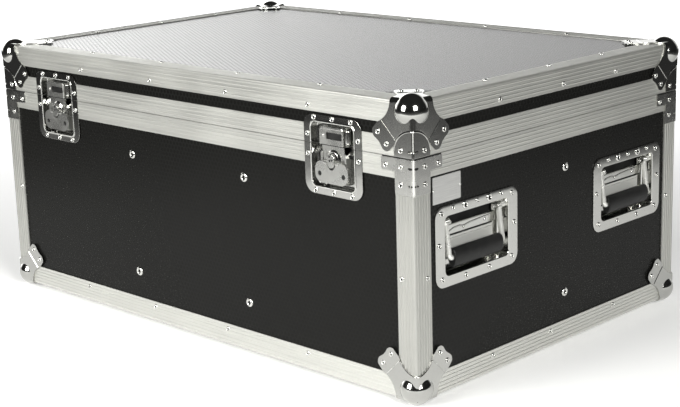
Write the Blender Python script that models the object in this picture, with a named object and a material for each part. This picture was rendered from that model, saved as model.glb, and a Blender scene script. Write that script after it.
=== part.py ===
"""Hinged-lid flight case for six par can lanterns.

A ply box in aluminium edge extrusion with pressed ball corners, two recessed butterfly latches on
the front, two sprung handles on each end and two stop hinges at the back.
All sizes below are in millimetres; meshes are made in metres. X runs along the case, Y from the
latch side to the hinge side, Z up. The origin is on the floor below the middle of the case.
"""
import math

import bmesh
import bpy
from mathutils import Matrix, Vector

MM = 0.001
WELD = 0.000005

# The box, measured over the outer faces of the extrusion
LENGTH = 860.0
DEPTH = 580.0
HEIGHT = 385.0
HALF_X = LENGTH / 2
HALF_Y = DEPTH / 2

# Clearance between pieces that touch
GAP = 0.3

# Ball corners
BALL_RADIUS = 21.5
BALL_INSET = 13.5
BALL_WALL = 1.3
PLATE = 1.3
PLATE_IN = -GAP
PLATE_OUT = -GAP - PLATE
CORNER_CUT = 10.0

# Heights above the floor
FLOOR_GAP = BALL_RADIUS - BALL_INSET
BOTTOM = FLOOR_GAP
TOP = BOTTOM + HEIGHT
SPLIT = BOTTOM + 314.0
LID_TALL = TOP - SPLIT

# Extrusion
LEG = 30.0
WALL = 1.6
ARRIS_RADIUS = 2.5
BASE_RIM_TALL = 27.0
LID_RIM_TALL = 25.0
RIM_INNER = 13.0
RIM_SLOT = 11.4

# Ply
PANEL_IN = WALL + GAP
PLY = 9.0
PANEL_BACK = PANEL_IN + PLY
FIELD_RISE = 0.4
FIELD_CLIP = 55.0

# Dividers inside
DIVIDER = 6.5
DIVIDER_SLOT = 7.3
DIVIDER_TALL = 278.0
CROSS_X = 120.5
LONG_Y = 21.5

# Latches, measured from the latch's centre line and the split
LATCH_X = 294.0
DISH_HALF = 51.0
DISH_LOW = -66.5
DISH_HIGH = 38.0
DISH_CORNER = 16.0
TRAY_HALF = 37.4
TRAY_LOW = -55.5
TRAY_HIGH = 27.5
TRAY_CORNER = 7.0
TRAY_FLOOR = 9.8
TRAY_SHEET = 1.1
SPLIT_GAP = 0.4
HOUSING_HALF = 22.5
HOUSING_SHEET = 1.5
ROTOR_Z = -18.0
ROTOR_RADIUS = 12.5
HOOK_TRAVEL = 8.0
WING_PIN_Z = ROTOR_Z - 4.0
WING_PIN_Y = -3.4
WING_PIN_HALF = 12.0
WING_HALF_THICK = 0.8

# Handles, measured from the middle of the dish
HANDLE_Y = 168.5
HANDLE_Z = BOTTOM + 191.7
HANDLE_HALF = 82.5
HANDLE_HALF_TALL = 53.2
HANDLE_CORNER = 15.0
WELL_HALF = 63.5
WELL_HALF_TALL = 38.5
WELL_FLOOR = 18.0
WELL_SHEET = 1.3
BAIL_RADIUS = 3.5
BAIL_HALF = 53.5
BAIL_BEND = 4.5
BAIL_DEPTH = -9.0
GRIP_DEPTH = -3.0
GRIP_HALF = 48.8
BAIL_PIVOT_Z = 29.0
GRIP_Z = -17.5

# Hinges
HINGE_X = 262.0
HINGE_OUT = 6.5
HINGE_HALF = 32.0
KNUCKLE_RADIUS = 4.2
PIN_RADIUS = 2.0

COLOURS = {
    "laminate": ((0.022, 0.021, 0.020), 0.0, 0.55),
    "extrusion": ((0.62, 0.62, 0.59), 1.0, 0.38),
    "chrome": ((0.72, 0.72, 0.70), 1.0, 0.14),
    "nickel": ((0.60, 0.60, 0.57), 1.0, 0.26),
    "rubber": ((0.018, 0.018, 0.018), 0.0, 0.62),
    "divider_ply": ((0.030, 0.028, 0.026), 0.0, 0.70),
}


# Scene and materials

def clear_scene():
    for obj in list(bpy.data.objects):
        bpy.data.objects.remove(obj)


def make_material(name):
    colour, metallic, roughness = COLOURS[name]
    material = bpy.data.materials.new(name)
    material.use_nodes = True
    shader = material.node_tree.nodes["Principled BSDF"]
    shader.inputs["Base Color"].default_value = (*colour, 1.0)
    shader.inputs["Metallic"].default_value = metallic
    shader.inputs["Roughness"].default_value = roughness
    material.diffuse_color = (*colour, 1.0)
    return material


def add_mesh_object(name, mesh):
    obj = bpy.data.objects.new(name, mesh)
    CASE.objects.link(obj)
    return obj


def object_from_bmesh(name, bm):
    bmesh.ops.recalc_face_normals(bm, faces=bm.faces)
    mesh = bpy.data.meshes.new(name)
    bm.to_mesh(mesh)
    bm.free()
    return add_mesh_object(name, mesh)


# Outlines

def arc(centre, radius, start, end, steps):
    """Points on an arc, angles in degrees, both ends included."""
    points = []
    for i in range(steps + 1):
        angle = math.radians(start + (end - start) * i / steps)
        points.append((centre[0] + radius * math.cos(angle), centre[1] + radius * math.sin(angle)))
    return points


def circle(centre, radius, steps):
    return arc(centre, radius, 0.0, 360.0, steps)[:-1]


def rounded_rectangle(low_x, high_x, low_z, high_z, bottom, top, steps=4):
    """A rectangle whose bottom and top corners have their own radius; zero leaves them square."""
    corners = (
        (low_x, low_z, bottom, 180.0, 1, 1),
        (high_x, low_z, bottom, 270.0, -1, 1),
        (high_x, high_z, top, 0.0, -1, -1),
        (low_x, high_z, top, 90.0, 1, -1),
    )
    points = []
    for x, z, radius, start, inward_x, inward_z in corners:
        if radius == 0.0:
            points.append((x, z))
            continue
        centre = (x + inward_x * radius, z + inward_z * radius)
        points.extend(arc(centre, radius, start, start + 90.0, steps))
    return points


# Solids

# Each matrix turns an outline drawn in XY so that its thickness runs along the named axis
FACING = {
    "X": Matrix(((0, 0, 1, 0), (1, 0, 0, 0), (0, 1, 0, 0), (0, 0, 0, 1))),
    "Y": Matrix(((1, 0, 0, 0), (0, 0, -1, 0), (0, 1, 0, 0), (0, 0, 0, 1))),
    "Z": Matrix.Identity(4),
}


def block(name, low, high):
    bm = bmesh.new()
    bmesh.ops.create_cube(bm, size=1.0)
    size = [(high[i] - low[i]) * MM for i in range(3)]
    middle = [(high[i] + low[i]) / 2 * MM for i in range(3)]
    bmesh.ops.scale(bm, vec=size, verts=bm.verts)
    bmesh.ops.translate(bm, vec=middle, verts=bm.verts)
    return object_from_bmesh(name, bm)


def mesh_from_curve(name, curve_object):
    """Turn a curve into a mesh object with its caps welded, in the curve's place."""
    bpy.context.view_layer.update()
    graph = bpy.context.evaluated_depsgraph_get()
    mesh = bpy.data.meshes.new_from_object(curve_object.evaluated_get(graph))
    bm = bmesh.new()
    bm.from_mesh(mesh)
    bpy.data.meshes.remove(mesh)
    bmesh.ops.remove_doubles(bm, verts=bm.verts, dist=WELD)
    bmesh.ops.transform(bm, matrix=curve_object.matrix_world, verts=bm.verts)
    bpy.data.objects.remove(curve_object)
    return object_from_bmesh(name, bm)


def slab(name, outlines, low, high, axis):
    """An outline, with any holes after it, filled and given thickness from low to high on an axis.

    Outline points are (y, z) for axis X, (x, z) for axis Y and (x, y) for axis Z.
    """
    curve = bpy.data.curves.new(name, "CURVE")
    curve.dimensions = "2D"
    curve.fill_mode = "BOTH"
    curve.extrude = (high - low) / 2 * MM
    for outline in outlines:
        spline = curve.splines.new("POLY")
        spline.points.add(len(outline) - 1)
        for point, (u, v) in zip(spline.points, outline):
            point.co = (u * MM, v * MM, 0.0, 1.0)
        spline.use_cyclic_u = True
    obj = bpy.data.objects.new(name, curve)
    CASE.objects.link(obj)
    direction = {"X": Vector((1, 0, 0)), "Y": Vector((0, 1, 0)), "Z": Vector((0, 0, 1))}[axis]
    obj.matrix_world = Matrix.Translation(direction * (low + high) / 2 * MM) @ FACING[axis]
    return mesh_from_curve(name, obj)


def cylinder(name, centre, radius, low, high, axis, steps):
    """A round bar along an axis; centre holds the other two coordinates in order."""
    return slab(name, [circle(centre, radius, steps)], low, high, axis)


def sphere(name, centre, radius, segments, rings):
    bm = bmesh.new()
    bmesh.ops.create_uvsphere(bm, u_segments=segments, v_segments=rings, radius=radius * MM)
    bmesh.ops.translate(bm, vec=Vector(centre) * MM, verts=bm.verts)
    return object_from_bmesh(name, bm)


def mitred_ring(name, section, half_x=HALF_X, half_y=HALF_Y):
    """A closed frame: one section of (inset, height) points carried round the box, mitred at corners."""
    bm = bmesh.new()
    loops = []
    for sign_x, sign_y in ((-1, -1), (1, -1), (1, 1), (-1, 1)):
        loops.append([
            bm.verts.new((sign_x * (half_x - inset) * MM, sign_y * (half_y - inset) * MM, z * MM))
            for inset, z in section
        ])
    count = len(section)
    for side in range(4):
        here, there = loops[side], loops[(side + 1) % 4]
        for i in range(count):
            j = (i + 1) % count
            bm.faces.new((here[i], there[i], there[j], here[j]))
    return object_from_bmesh(name, bm)


def rod(name, points, radius, resolution=2):
    """A round rod along a poly route."""
    curve = bpy.data.curves.new(name, "CURVE")
    curve.dimensions = "3D"
    curve.bevel_depth = radius * MM
    curve.bevel_resolution = resolution
    curve.use_fill_caps = True
    spline = curve.splines.new("POLY")
    spline.points.add(len(points) - 1)
    for point, place in zip(spline.points, points):
        point.co = (*(Vector(place) * MM), 1.0)
    obj = bpy.data.objects.new(name, curve)
    CASE.objects.link(obj)
    return mesh_from_curve(name, obj)


# Cutting and joining

def weld(mesh):
    """Close the zero-length edges that a Boolean can leave."""
    bm = bmesh.new()
    bm.from_mesh(mesh)
    bmesh.ops.remove_doubles(bm, verts=bm.verts, dist=WELD)
    bmesh.ops.dissolve_degenerate(bm, edges=bm.edges, dist=WELD)
    bm.to_mesh(mesh)
    bm.free()


def combine(target, tool, operation):
    """Apply one Boolean to target and remove the tool."""
    modifier = target.modifiers.new(operation.lower(), "BOOLEAN")
    modifier.operation = operation
    modifier.solver = "EXACT"
    modifier.object = tool
    bpy.context.view_layer.update()
    graph = bpy.context.evaluated_depsgraph_get()
    mesh = bpy.data.meshes.new_from_object(target.evaluated_get(graph))
    weld(mesh)
    target.modifiers.clear()
    old = target.data
    target.data = mesh
    bpy.data.meshes.remove(old)
    bpy.data.objects.remove(tool)
    return target


def cut(target, *tools):
    for tool in tools:
        combine(target, tool, "DIFFERENCE")
    return target


def fuse(target, *tools):
    for tool in tools:
        combine(target, tool, "UNION")
    return target


def finish(obj, material, smooth_angle=None, place=None):
    """Give an object its material, its shading and its place."""
    obj.data.materials.clear()
    obj.data.materials.append(MATERIALS[material])
    if smooth_angle:
        obj.data.shade_smooth()
        obj.data.set_sharp_from_angle(angle=math.radians(smooth_angle))
    if place is not None:
        obj.matrix_world = place
    return obj


def copies(obj, names, places):
    """Place the object under the first name and copies that share its mesh under the others."""
    obj.name = names[0]
    obj.matrix_world = places[0]
    for name, place in zip(names[1:], places[1:]):
        twin = add_mesh_object(name, obj.data)
        twin.matrix_world = place


# Places of what repeats

SIDES = ("front_left", "front_right", "back_right", "back_left")


def corner_places(height, upside_down=False):
    """Frames at the four corners whose local X and Y run inward along the two faces.

    Local Z runs up, or down where the piece hangs from the lid's top corner.
    """
    places = []
    for quarter, (sign_x, sign_y) in enumerate(((-1, -1), (1, -1), (1, 1), (-1, 1))):
        place = Matrix.Translation(Vector((sign_x * HALF_X, sign_y * HALF_Y, height)) * MM)
        place @= Matrix.Rotation(math.radians(90 * quarter), 4, "Z")
        if upside_down:
            place @= Matrix.Rotation(math.pi, 4, Vector((1, 1, 0)).normalized())
        places.append(place)
    return places


# Frames of extrusion

def angle_section(arris_z, inward):
    """An edge angle with a rounded arris; inward is the way its side leg runs along Z."""
    side = [(0.0, arris_z + inward * LEG)]
    bend = [
        (u, arris_z + inward * z)
        for u, z in arc((ARRIS_RADIUS, ARRIS_RADIUS), ARRIS_RADIUS, 180.0, 270.0, 3)
    ]
    flat = [(LEG, arris_z), (LEG, arris_z + inward * WALL), (WALL, arris_z + inward * WALL)]
    return side + bend + flat + [(WALL, arris_z + inward * LEG)]


def clear_ball_corners(frame, height, inward):
    """Open the four corners of a frame or panel for the balls."""
    low, high = sorted((height - inward, height + inward * CORNER_CUT))
    for sign_x in (-1, 1):
        for sign_y in (-1, 1):
            xs = sorted((sign_x * (HALF_X + 1), sign_x * (HALF_X - CORNER_CUT)))
            ys = sorted((sign_y * (HALF_Y + 1), sign_y * (HALF_Y - CORNER_CUT)))
            cut(frame, block("corner_cut", (xs[0], ys[0], low), (xs[1], ys[1], high)))


def build_edge_frames():
    bottom = mitred_ring("bottom_edge_frame", angle_section(BOTTOM, 1))
    clear_ball_corners(bottom, BOTTOM, 1)
    finish(bottom, "extrusion")
    lid = mitred_ring("lid_edge_frame", angle_section(TOP, -1))
    clear_ball_corners(lid, TOP, -1)
    finish(lid, "extrusion")


def build_corner_posts():
    foot = LEG + GAP
    head = SPLIT - BOTTOM - BASE_RIM_TALL - GAP
    outline = arc((ARRIS_RADIUS, ARRIS_RADIUS), ARRIS_RADIUS, 180.0, 270.0, 3)
    outline += [(LEG, 0.0), (LEG, WALL), (WALL, WALL), (WALL, LEG), (0.0, LEG)]
    post = finish(slab("corner_post", [outline], foot, head, "Z"), "extrusion")
    copies(post, ["corner_post_" + side for side in SIDES], corner_places(BOTTOM))


def latch_cutters(low, high):
    """Blocks that open a rim for a latch: the flange's seat, and the tray's full depth."""
    cutters = []
    for centre in (-LATCH_X, LATCH_X):
        for half, depth in ((DISH_HALF + SPLIT_GAP, PANEL_IN), (TRAY_HALF + 1.8, RIM_SLOT + 0.2)):
            cutters.append(block(
                "latch_cut", (centre - half, -HALF_Y - 1, low), (centre + half, -HALF_Y + depth, high)))
    return cutters


def build_rims():
    """The two halves of the closing profile: a tongue on the base and a groove on the lid."""
    base = [
        (0.0, -BASE_RIM_TALL), (0.0, -SPLIT_GAP), (4.2, -SPLIT_GAP), (4.8, 3.4), (5.4, 4.0),
        (6.6, 4.0), (7.2, 3.4), (7.8, -SPLIT_GAP), (RIM_INNER, -SPLIT_GAP), (RIM_INNER, -12.0),
        (RIM_SLOT, -12.0), (RIM_SLOT, -2.0), (WALL, -2.0), (WALL, -BASE_RIM_TALL),
    ]
    lid = [
        (0.0, LID_RIM_TALL), (0.0, SPLIT_GAP), (2.9, SPLIT_GAP), (2.9, 5.4), (9.1, 5.4),
        (9.1, SPLIT_GAP), (RIM_INNER, SPLIT_GAP), (RIM_INNER, 14.0), (RIM_SLOT, 14.0),
        (RIM_SLOT, 7.0), (WALL, 7.0), (WALL, LID_RIM_TALL),
    ]
    for name, section in (("base_rim_frame", base), ("lid_rim_frame", lid)):
        ring = mitred_ring(name, [(inset, SPLIT + z) for inset, z in section])
        cut(ring, *latch_cutters(SPLIT - BASE_RIM_TALL - 1, SPLIT + LID_RIM_TALL + 1))
        finish(ring, "extrusion")


# Ply panels

def raised_field(low, high):
    """The panel's face between the legs of the extrusion, its corners clipped clear of the petals."""
    x = HALF_X - LEG - GAP
    y = HALF_Y - LEG - GAP
    outline = [
        (-x + FIELD_CLIP, -y), (x - FIELD_CLIP, -y), (x, -y + FIELD_CLIP), (x, y - FIELD_CLIP),
        (x - FIELD_CLIP, y), (-x + FIELD_CLIP, y), (-x, y - FIELD_CLIP), (-x, -y + FIELD_CLIP),
    ]
    return slab("field", [outline], low, high, "Z")


def build_base_panels():
    edge_x = HALF_X - PANEL_IN
    edge_y = HALF_Y - PANEL_IN
    low = BOTTOM + PANEL_IN
    bottom = block("bottom_panel", (-edge_x, -edge_y, low), (edge_x, edge_y, low + PLY))
    fuse(bottom, raised_field(low - FIELD_RISE, low + PLY / 2))
    clear_ball_corners(bottom, BOTTOM, 1)
    finish(bottom, "laminate")

    stand = BOTTOM + PANEL_BACK + GAP
    head = SPLIT - 2.0 - GAP
    inner_y = HALF_Y - PANEL_BACK
    front = block("front_panel", (-edge_x, -edge_y, stand), (edge_x, -inner_y, head))
    for centre in (-LATCH_X, LATCH_X):
        half = TRAY_HALF + 1.8
        cut(front, block("latch_cut", (centre - half, -HALF_Y, SPLIT + TRAY_LOW - 1.8),
                         (centre + half, -inner_y + 1, SPLIT)))
    finish(front, "laminate")
    finish(block("back_panel", (-edge_x, inner_y, stand), (edge_x, edge_y, head)), "laminate")

    inner_x = HALF_X - PANEL_BACK
    side = inner_y - GAP
    for name, sign in (("left_end_panel", -1), ("right_end_panel", 1)):
        xs = sorted((sign * inner_x, sign * edge_x))
        panel = block(name, (xs[0], -side, stand), (xs[1], side, head))
        for centre in (-HANDLE_Y, HANDLE_Y):
            cut(panel, block(
                "handle_cut",
                (xs[0] - 1, centre - WELL_HALF - 4, HANDLE_Z - WELL_HALF_TALL - 1.8),
                (xs[1] + 1, centre + WELL_HALF + 4, HANDLE_Z + WELL_HALF_TALL + 1.8)))
        finish(panel, "laminate")


def build_lid_panels():
    edge_x = HALF_X - PANEL_IN
    edge_y = HALF_Y - PANEL_IN
    high = TOP - PANEL_IN
    top = block("lid_top_panel", (-edge_x, -edge_y, high - PLY), (edge_x, edge_y, high))
    fuse(top, raised_field(high - PLY / 2, high + FIELD_RISE))
    clear_ball_corners(top, TOP, -1)
    finish(top, "laminate")

    low, head = SPLIT + 7.0 + GAP, high - PLY - GAP
    section = [(PANEL_IN, low), (PANEL_IN, head), (PANEL_BACK, head), (PANEL_BACK, low)]
    band = mitred_ring("lid_side_band", section)
    for centre in (-LATCH_X, LATCH_X):
        half = TRAY_HALF + 1.8
        cut(band, block("latch_cut", (centre - half, -HALF_Y, SPLIT),
                        (centre + half, -HALF_Y + PANEL_BACK + 1, SPLIT + TRAY_HIGH + 1.8)))
    finish(band, "laminate")


def build_dividers():
    """One long divider and two cross dividers, halved into each other."""
    stand = BOTTOM + PANEL_BACK + GAP
    middle = stand + DIVIDER_TALL / 2
    head = stand + DIVIDER_TALL
    end_x = HALF_X - PANEL_BACK - GAP
    end_y = HALF_Y - PANEL_BACK - GAP
    half = DIVIDER / 2
    slot = DIVIDER_SLOT / 2
    long_divider = block("long_divider", (-end_x, LONG_Y - half, stand), (end_x, LONG_Y + half, head))
    for centre in (-CROSS_X, CROSS_X):
        cut(long_divider, block("slot", (centre - slot, LONG_Y - 9, middle), (centre + slot, LONG_Y + 9, head + 1)))
    finish(long_divider, "divider_ply")
    for name, centre in (("cross_divider_left", -CROSS_X), ("cross_divider_right", CROSS_X)):
        divider = block(name, (centre - half, -end_y, stand), (centre + half, end_y, head))
        cut(divider, block("slot", (centre - 9, LONG_Y - slot, stand - 1),
                           (centre + 9, LONG_Y + slot, middle + GAP)))
        finish(divider, "divider_ply")


# Ball corners and braces

PETAL_ARC_CENTRE = 67.0
PETAL_ARC_RADIUS = 31.6
PETAL_LOBE = (56.3, 42.2)
PETAL_LOBE_RADIUS = 7.3


def petal_outline():
    """One face of a ball corner: concave sides round each arris and a two-lobed end."""
    half = [(PETAL_ARC_CENTRE - PETAL_ARC_RADIUS, PLATE_OUT)]
    half += arc((PETAL_ARC_CENTRE, 0.0), PETAL_ARC_RADIUS, 180.0, 109.5, 4)
    half += arc(PETAL_LOBE, PETAL_LOBE_RADIUS, -20.0, 45.0, 3)
    mirrored = [(v, u) for u, v in reversed(half)]
    return [(PLATE_OUT, PLATE_OUT)] + half + mirrored


def arris_chamfer(reach, axis):
    """A prism that takes everything off an arris beyond the line where the other two coordinates add up to reach."""
    far = -6.0
    return slab("arris_chamfer", [[(far, far), (reach - far, far), (far, reach - far)]], CORNER_CUT - 1.0, 95.0, axis)


def build_ball_corners():
    """A pressed ball with a petal on each of its three faces, hollow over the cut corner of the box."""
    centre = (BALL_INSET,) * 3
    corner = slab("ball_corner", [petal_outline()], PLATE_OUT, PLATE_IN, "X")
    for axis in "YZ":
        fuse(corner, slab("petal", [petal_outline()], PLATE_OUT, PLATE_IN, axis))
    cut(corner, block("ball_room", (-3.0,) * 3, (CORNER_CUT,) * 3))
    for axis, reach in (("X", -0.2), ("Y", -0.2), ("Z", -1.8)):
        cut(corner, arris_chamfer(reach, axis))
    fuse(corner, sphere("ball", centre, BALL_RADIUS, 20, 10))
    cut(corner, sphere("hollow", centre, BALL_RADIUS - BALL_WALL, 12, 6))
    inside = block("inside", (PLATE_IN,) * 3, (90.0,) * 3)
    for axis in "XY":
        cut(inside, arris_chamfer(1.0, axis))
    cut(inside, block("corner_room", (-2.0,) * 3, (CORNER_CUT - GAP,) * 3))
    cut(corner, inside)
    finish(corner, "chrome", smooth_angle=30)
    names = ["bottom_ball_corner_" + side for side in SIDES] + ["lid_ball_corner_" + side for side in SIDES]
    copies(corner, names, corner_places(BOTTOM) + corner_places(TOP, upside_down=True))


def build_braces():
    """Folded corner braces: an arched one on the lid, a tee-shaped one on the base rim."""
    arch_centre = LID_TALL - PETAL_ARC_CENTRE
    arch = [(PLATE_OUT, 0.8), (LEG, 0.8)]
    arch += arc((0.0, arch_centre), PETAL_ARC_RADIUS - 0.8, 8.0, 90.0, 6)
    arch += [(PLATE_OUT, arch_centre + PETAL_ARC_RADIUS - 0.8)]
    tee = [
        (PLATE_OUT, -46.5), (LEG - 0.5, -46.5), (LEG - 0.5, -17.5), (52.0, -17.5), (52.0, -4.5),
        (50.0, -2.5), (PLATE_OUT, -2.5),
    ]
    for stem, outline in (("lid_corner_brace_", arch), ("base_rim_brace_", tee)):
        brace = slab(stem, [outline], PLATE_OUT, PLATE_IN, "X")
        fuse(brace, slab("fold", [outline], PLATE_OUT, PLATE_IN, "Y"))
        finish(brace, "nickel", smooth_angle=30)
        copies(brace, [stem + side for side in SIDES], corner_places(SPLIT))


# Latches. Local X runs along the case, Y into it from the extrusion's face, Z up from the split.

def dish_half(name, low, high, tray_low, tray_high, bottom_radius, top_radius):
    """A flange with a shallow tray behind it, open along the split."""
    flange = rounded_rectangle(-DISH_HALF, DISH_HALF, low, high, bottom_radius, top_radius)
    tray_bottom = TRAY_CORNER if bottom_radius else 0.0
    tray_top = TRAY_CORNER if top_radius else 0.0
    sheet_low = TRAY_SHEET if bottom_radius else 0.0
    sheet_high = TRAY_SHEET if top_radius else 0.0
    outer = rounded_rectangle(
        -TRAY_HALF - TRAY_SHEET, TRAY_HALF + TRAY_SHEET, tray_low - sheet_low, tray_high + sheet_high,
        tray_bottom, tray_top)
    past_low = 0.0 if bottom_radius else 5.0
    past_high = 0.0 if top_radius else 5.0
    inner = rounded_rectangle(
        -TRAY_HALF, TRAY_HALF, tray_low - past_low, tray_high + past_high, tray_bottom, tray_top)
    dish = slab(name, [flange], GAP, WALL, "Y")
    fuse(dish, slab("tray", [outer], WALL / 2, TRAY_FLOOR + TRAY_SHEET, "Y"))
    return cut(dish, slab("hollow", [inner], -5.0, TRAY_FLOOR, "Y"))


def build_latch_dish():
    """The base half of the dish, with the folded channel that guides the hook plate."""
    dish = dish_half("latch_dish", DISH_LOW, -SPLIT_GAP, TRAY_LOW, -SPLIT_GAP, DISH_CORNER, 0.0)
    inner = HOUSING_HALF - HOUSING_SHEET
    channel = block("channel", (-HOUSING_HALF, 0.8, -48.0), (HOUSING_HALF, TRAY_FLOOR + 0.3, -0.8))
    cut(channel, block("bed", (-inner, -1.0, -60.0), (inner, 3.8, 5.0)))
    cut(channel, block("under", (-inner, 5.3, -60.0), (inner, 20.0, 5.0)))
    return finish(fuse(dish, channel), "nickel", smooth_angle=30)


def build_keeper_dish():
    """The lid half of the dish, with the windowed keeper that stands on its floor."""
    dish = dish_half("keeper_dish", SPLIT_GAP, DISH_HIGH, SPLIT_GAP, TRAY_HIGH, 0.0, DISH_CORNER)
    inner = HOUSING_HALF - HOUSING_SHEET
    keeper = block("keeper", (-HOUSING_HALF, -2.0, 0.8), (HOUSING_HALF, TRAY_FLOOR + 0.3, 24.0))
    cut(keeper, block("tongue_room", (-inner, -0.3, -5.0), (inner, 20.0, 22.5)))
    cut(keeper, slab("window", [rounded_rectangle(-10.0, 18.0, 8.0, 16.0, 1.5, 1.5, 2)], -5.0, 5.0, "Y"))
    return finish(fuse(dish, keeper), "nickel", smooth_angle=30)


def build_hook_plate():
    """The sliding plate, slotted round the rotor's shaft, whose tongue runs up behind the keeper."""
    half = HOUSING_HALF - HOUSING_SHEET - 0.8
    outline = [
        (-15.0, -36.0), (15.0, -36.0), (half, -30.0), (half, 11.0), (half - 3.0, 14.0),
        (-half + 3.0, 14.0), (-half, 11.0), (-half, -30.0),
    ]
    slot_half = 4.6
    slot = arc((0.0, ROTOR_Z), slot_half, 0.0, 180.0, 6)
    slot += arc((0.0, ROTOR_Z - HOOK_TRAVEL - GAP), slot_half, 180.0, 360.0, 6)
    return finish(slab("latch_hook", [outline, slot], 1.4, 3.2, "Y"), "nickel", smooth_angle=30)


def build_rotor():
    """The turning disc, its shaft through the hook plate, and the boss that carries the wing's pin."""
    rotor = cylinder("latch_rotor", (0.0, ROTOR_Z), ROTOR_RADIUS, -0.8, 0.8, "Y", 24)
    fuse(rotor, cylinder("shaft", (0.0, ROTOR_Z), 4.0, 0.0, 3.5, "Y", 12))
    boss = [(-6.0, ROTOR_Z - 9.0), (6.0, ROTOR_Z - 9.0), (6.0, ROTOR_Z + 2.0)]
    boss += arc((0.0, ROTOR_Z + 2.0), 6.0, 0.0, 180.0, 8)[1:]
    fuse(rotor, slab("boss", [boss], -5.4, 0.0, "Y"))
    fuse(rotor, cylinder("pin", (WING_PIN_Y, WING_PIN_Z), 1.2, -WING_PIN_HALF, WING_PIN_HALF, "X", 8))
    return finish(rotor, "nickel", smooth_angle=30)


def build_wing():
    """The butterfly wing: a half-round plate with two knuckles on the rotor's pin."""
    shoulder = ROTOR_Z - 2.7
    half = [(7.0, shoulder), (18.0, ROTOR_Z - 2.0)]
    half += arc((18.0, ROTOR_Z - 13.0), 11.0, 90.0, 0.0, 5)[1:]
    half += arc((18.0, ROTOR_Z - 20.5), 11.0, 0.0, -90.0, 5)[1:]
    left = [(-x, z) for x, z in reversed(half)]
    notch = [(-7.0, ROTOR_Z - 12.0), (7.0, ROTOR_Z - 12.0)]
    front, back = WING_PIN_Y - WING_HALF_THICK, WING_PIN_Y + WING_HALF_THICK
    wing = slab("latch_wing", [half + left + notch], front, back, "Y")
    for x in (-21.0, 21.0):
        cut(wing, cylinder("hole", (x, ROTOR_Z - 19.5), 2.2, front - 1, back + 1, "Y", 10))
    for low, high in ((-12.8, -6.7), (6.7, 12.8)):
        fuse(wing, cylinder("knuckle", (WING_PIN_Y, WING_PIN_Z), 2.2, low, high, "X", 12))
    reach = WING_PIN_HALF + GAP
    cut(wing, cylinder("bore", (WING_PIN_Y, WING_PIN_Z), 1.6, -reach, reach, "X", 8))
    return finish(wing, "nickel", smooth_angle=30)


def build_latches():
    makers = (
        ("latch_dish_", build_latch_dish), ("keeper_dish_", build_keeper_dish),
        ("latch_hook_", build_hook_plate), ("latch_rotor_", build_rotor), ("latch_wing_", build_wing),
    )
    places = [
        Matrix.Translation(Vector((x, -HALF_Y, SPLIT)) * MM) for x in (-LATCH_X, LATCH_X)
    ]
    for stem, maker in makers:
        copies(maker(), [stem + "left", stem + "right"], places)


# Handles. Local X runs out of the end panel from the extrusion's face, Y along it, Z up.

def build_handle_dish():
    """A flange and a deep well, with holes for the bail's ends and the spring's bracket."""
    flange = rounded_rectangle(
        -HANDLE_HALF, HANDLE_HALF, -HANDLE_HALF_TALL, HANDLE_HALF_TALL, HANDLE_CORNER, HANDLE_CORNER)
    outer = rounded_rectangle(
        -WELL_HALF - WELL_SHEET, WELL_HALF + WELL_SHEET, -WELL_HALF_TALL - WELL_SHEET,
        WELL_HALF_TALL + WELL_SHEET, 8.0, 8.0, 3)
    inner = rounded_rectangle(-WELL_HALF, WELL_HALF, -WELL_HALF_TALL, WELL_HALF_TALL, 7.0, 7.0, 3)
    dish = slab("handle_dish", [flange], -WALL, -GAP, "X")
    fuse(dish, slab("well", [outer], -WELL_FLOOR - WELL_SHEET, -WALL / 2, "X"))
    cut(dish, slab("hollow", [inner], -WELL_FLOOR, 5.0, "X"))
    bracket = [(-52.0, 8.0), (52.0, 8.0), (52.0, 20.0), (44.0, 24.0), (-44.0, 24.0), (-52.0, 20.0)]
    fuse(dish, slab("bracket", [bracket], -WELL_FLOOR - 0.3, -WELL_FLOOR + 4.0, "X"))
    for low, high in ((-70.0, -60.0), (60.0, 70.0)):
        cut(dish, cylinder("pivot_hole", (BAIL_DEPTH, BAIL_PIVOT_Z), BAIL_RADIUS + 0.5, low, high, "Y", 12))
    return finish(dish, "nickel", smooth_angle=30)


def build_bail():
    """A bent rod whose ends turn outward through the well's sides, and whose grip lies nearly flush."""
    end = WELL_HALF + WELL_SHEET + 1.6
    route = [(-end, BAIL_PIVOT_Z)]
    top_bend = 4.0
    route += arc((-BAIL_HALF - top_bend, BAIL_PIVOT_Z - top_bend), top_bend, 90.0, 0.0, 3)
    route += arc((-BAIL_HALF + BAIL_BEND, GRIP_Z + BAIL_BEND), BAIL_BEND, 180.0, 270.0, 4)
    slope = (GRIP_DEPTH - BAIL_DEPTH) / (BAIL_PIVOT_Z - GRIP_Z)
    half = [(BAIL_DEPTH + slope * (BAIL_PIVOT_Z - z), y, z) for y, z in route]
    points = half + [(x, -y, z) for x, y, z in reversed(half)]
    return finish(rod("handle_bail", points, BAIL_RADIUS), "chrome", smooth_angle=40)


def build_grip():
    """An oval rubber sleeve on the bail's cross bar."""
    half_deep, half_tall = 7.0, 13.5
    oval = [
        (half_deep * math.cos(math.radians(15 * i)), half_tall * math.sin(math.radians(15 * i)))
        for i in range(24)
    ]
    outline = [(GRIP_DEPTH + x, GRIP_Z + z) for x, z in oval]
    bore = circle((GRIP_DEPTH, GRIP_Z), BAIL_RADIUS + 0.4, 12)
    return finish(slab("handle_grip", [outline, bore], -GRIP_HALF, GRIP_HALF, "Y"), "rubber", smooth_angle=30)


def handle_places():
    """Four frames; local X points out of the case on both ends."""
    places = []
    for turn, sign in ((math.pi, -1), (0.0, 1)):
        for y in (-HANDLE_Y, HANDLE_Y):
            place = Matrix.Translation(Vector((sign * HALF_X, y, HANDLE_Z)) * MM)
            places.append(place @ Matrix.Rotation(turn, 4, "Z"))
    return places


HANDLES = ("left_front", "left_back", "right_front", "right_back")


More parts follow.
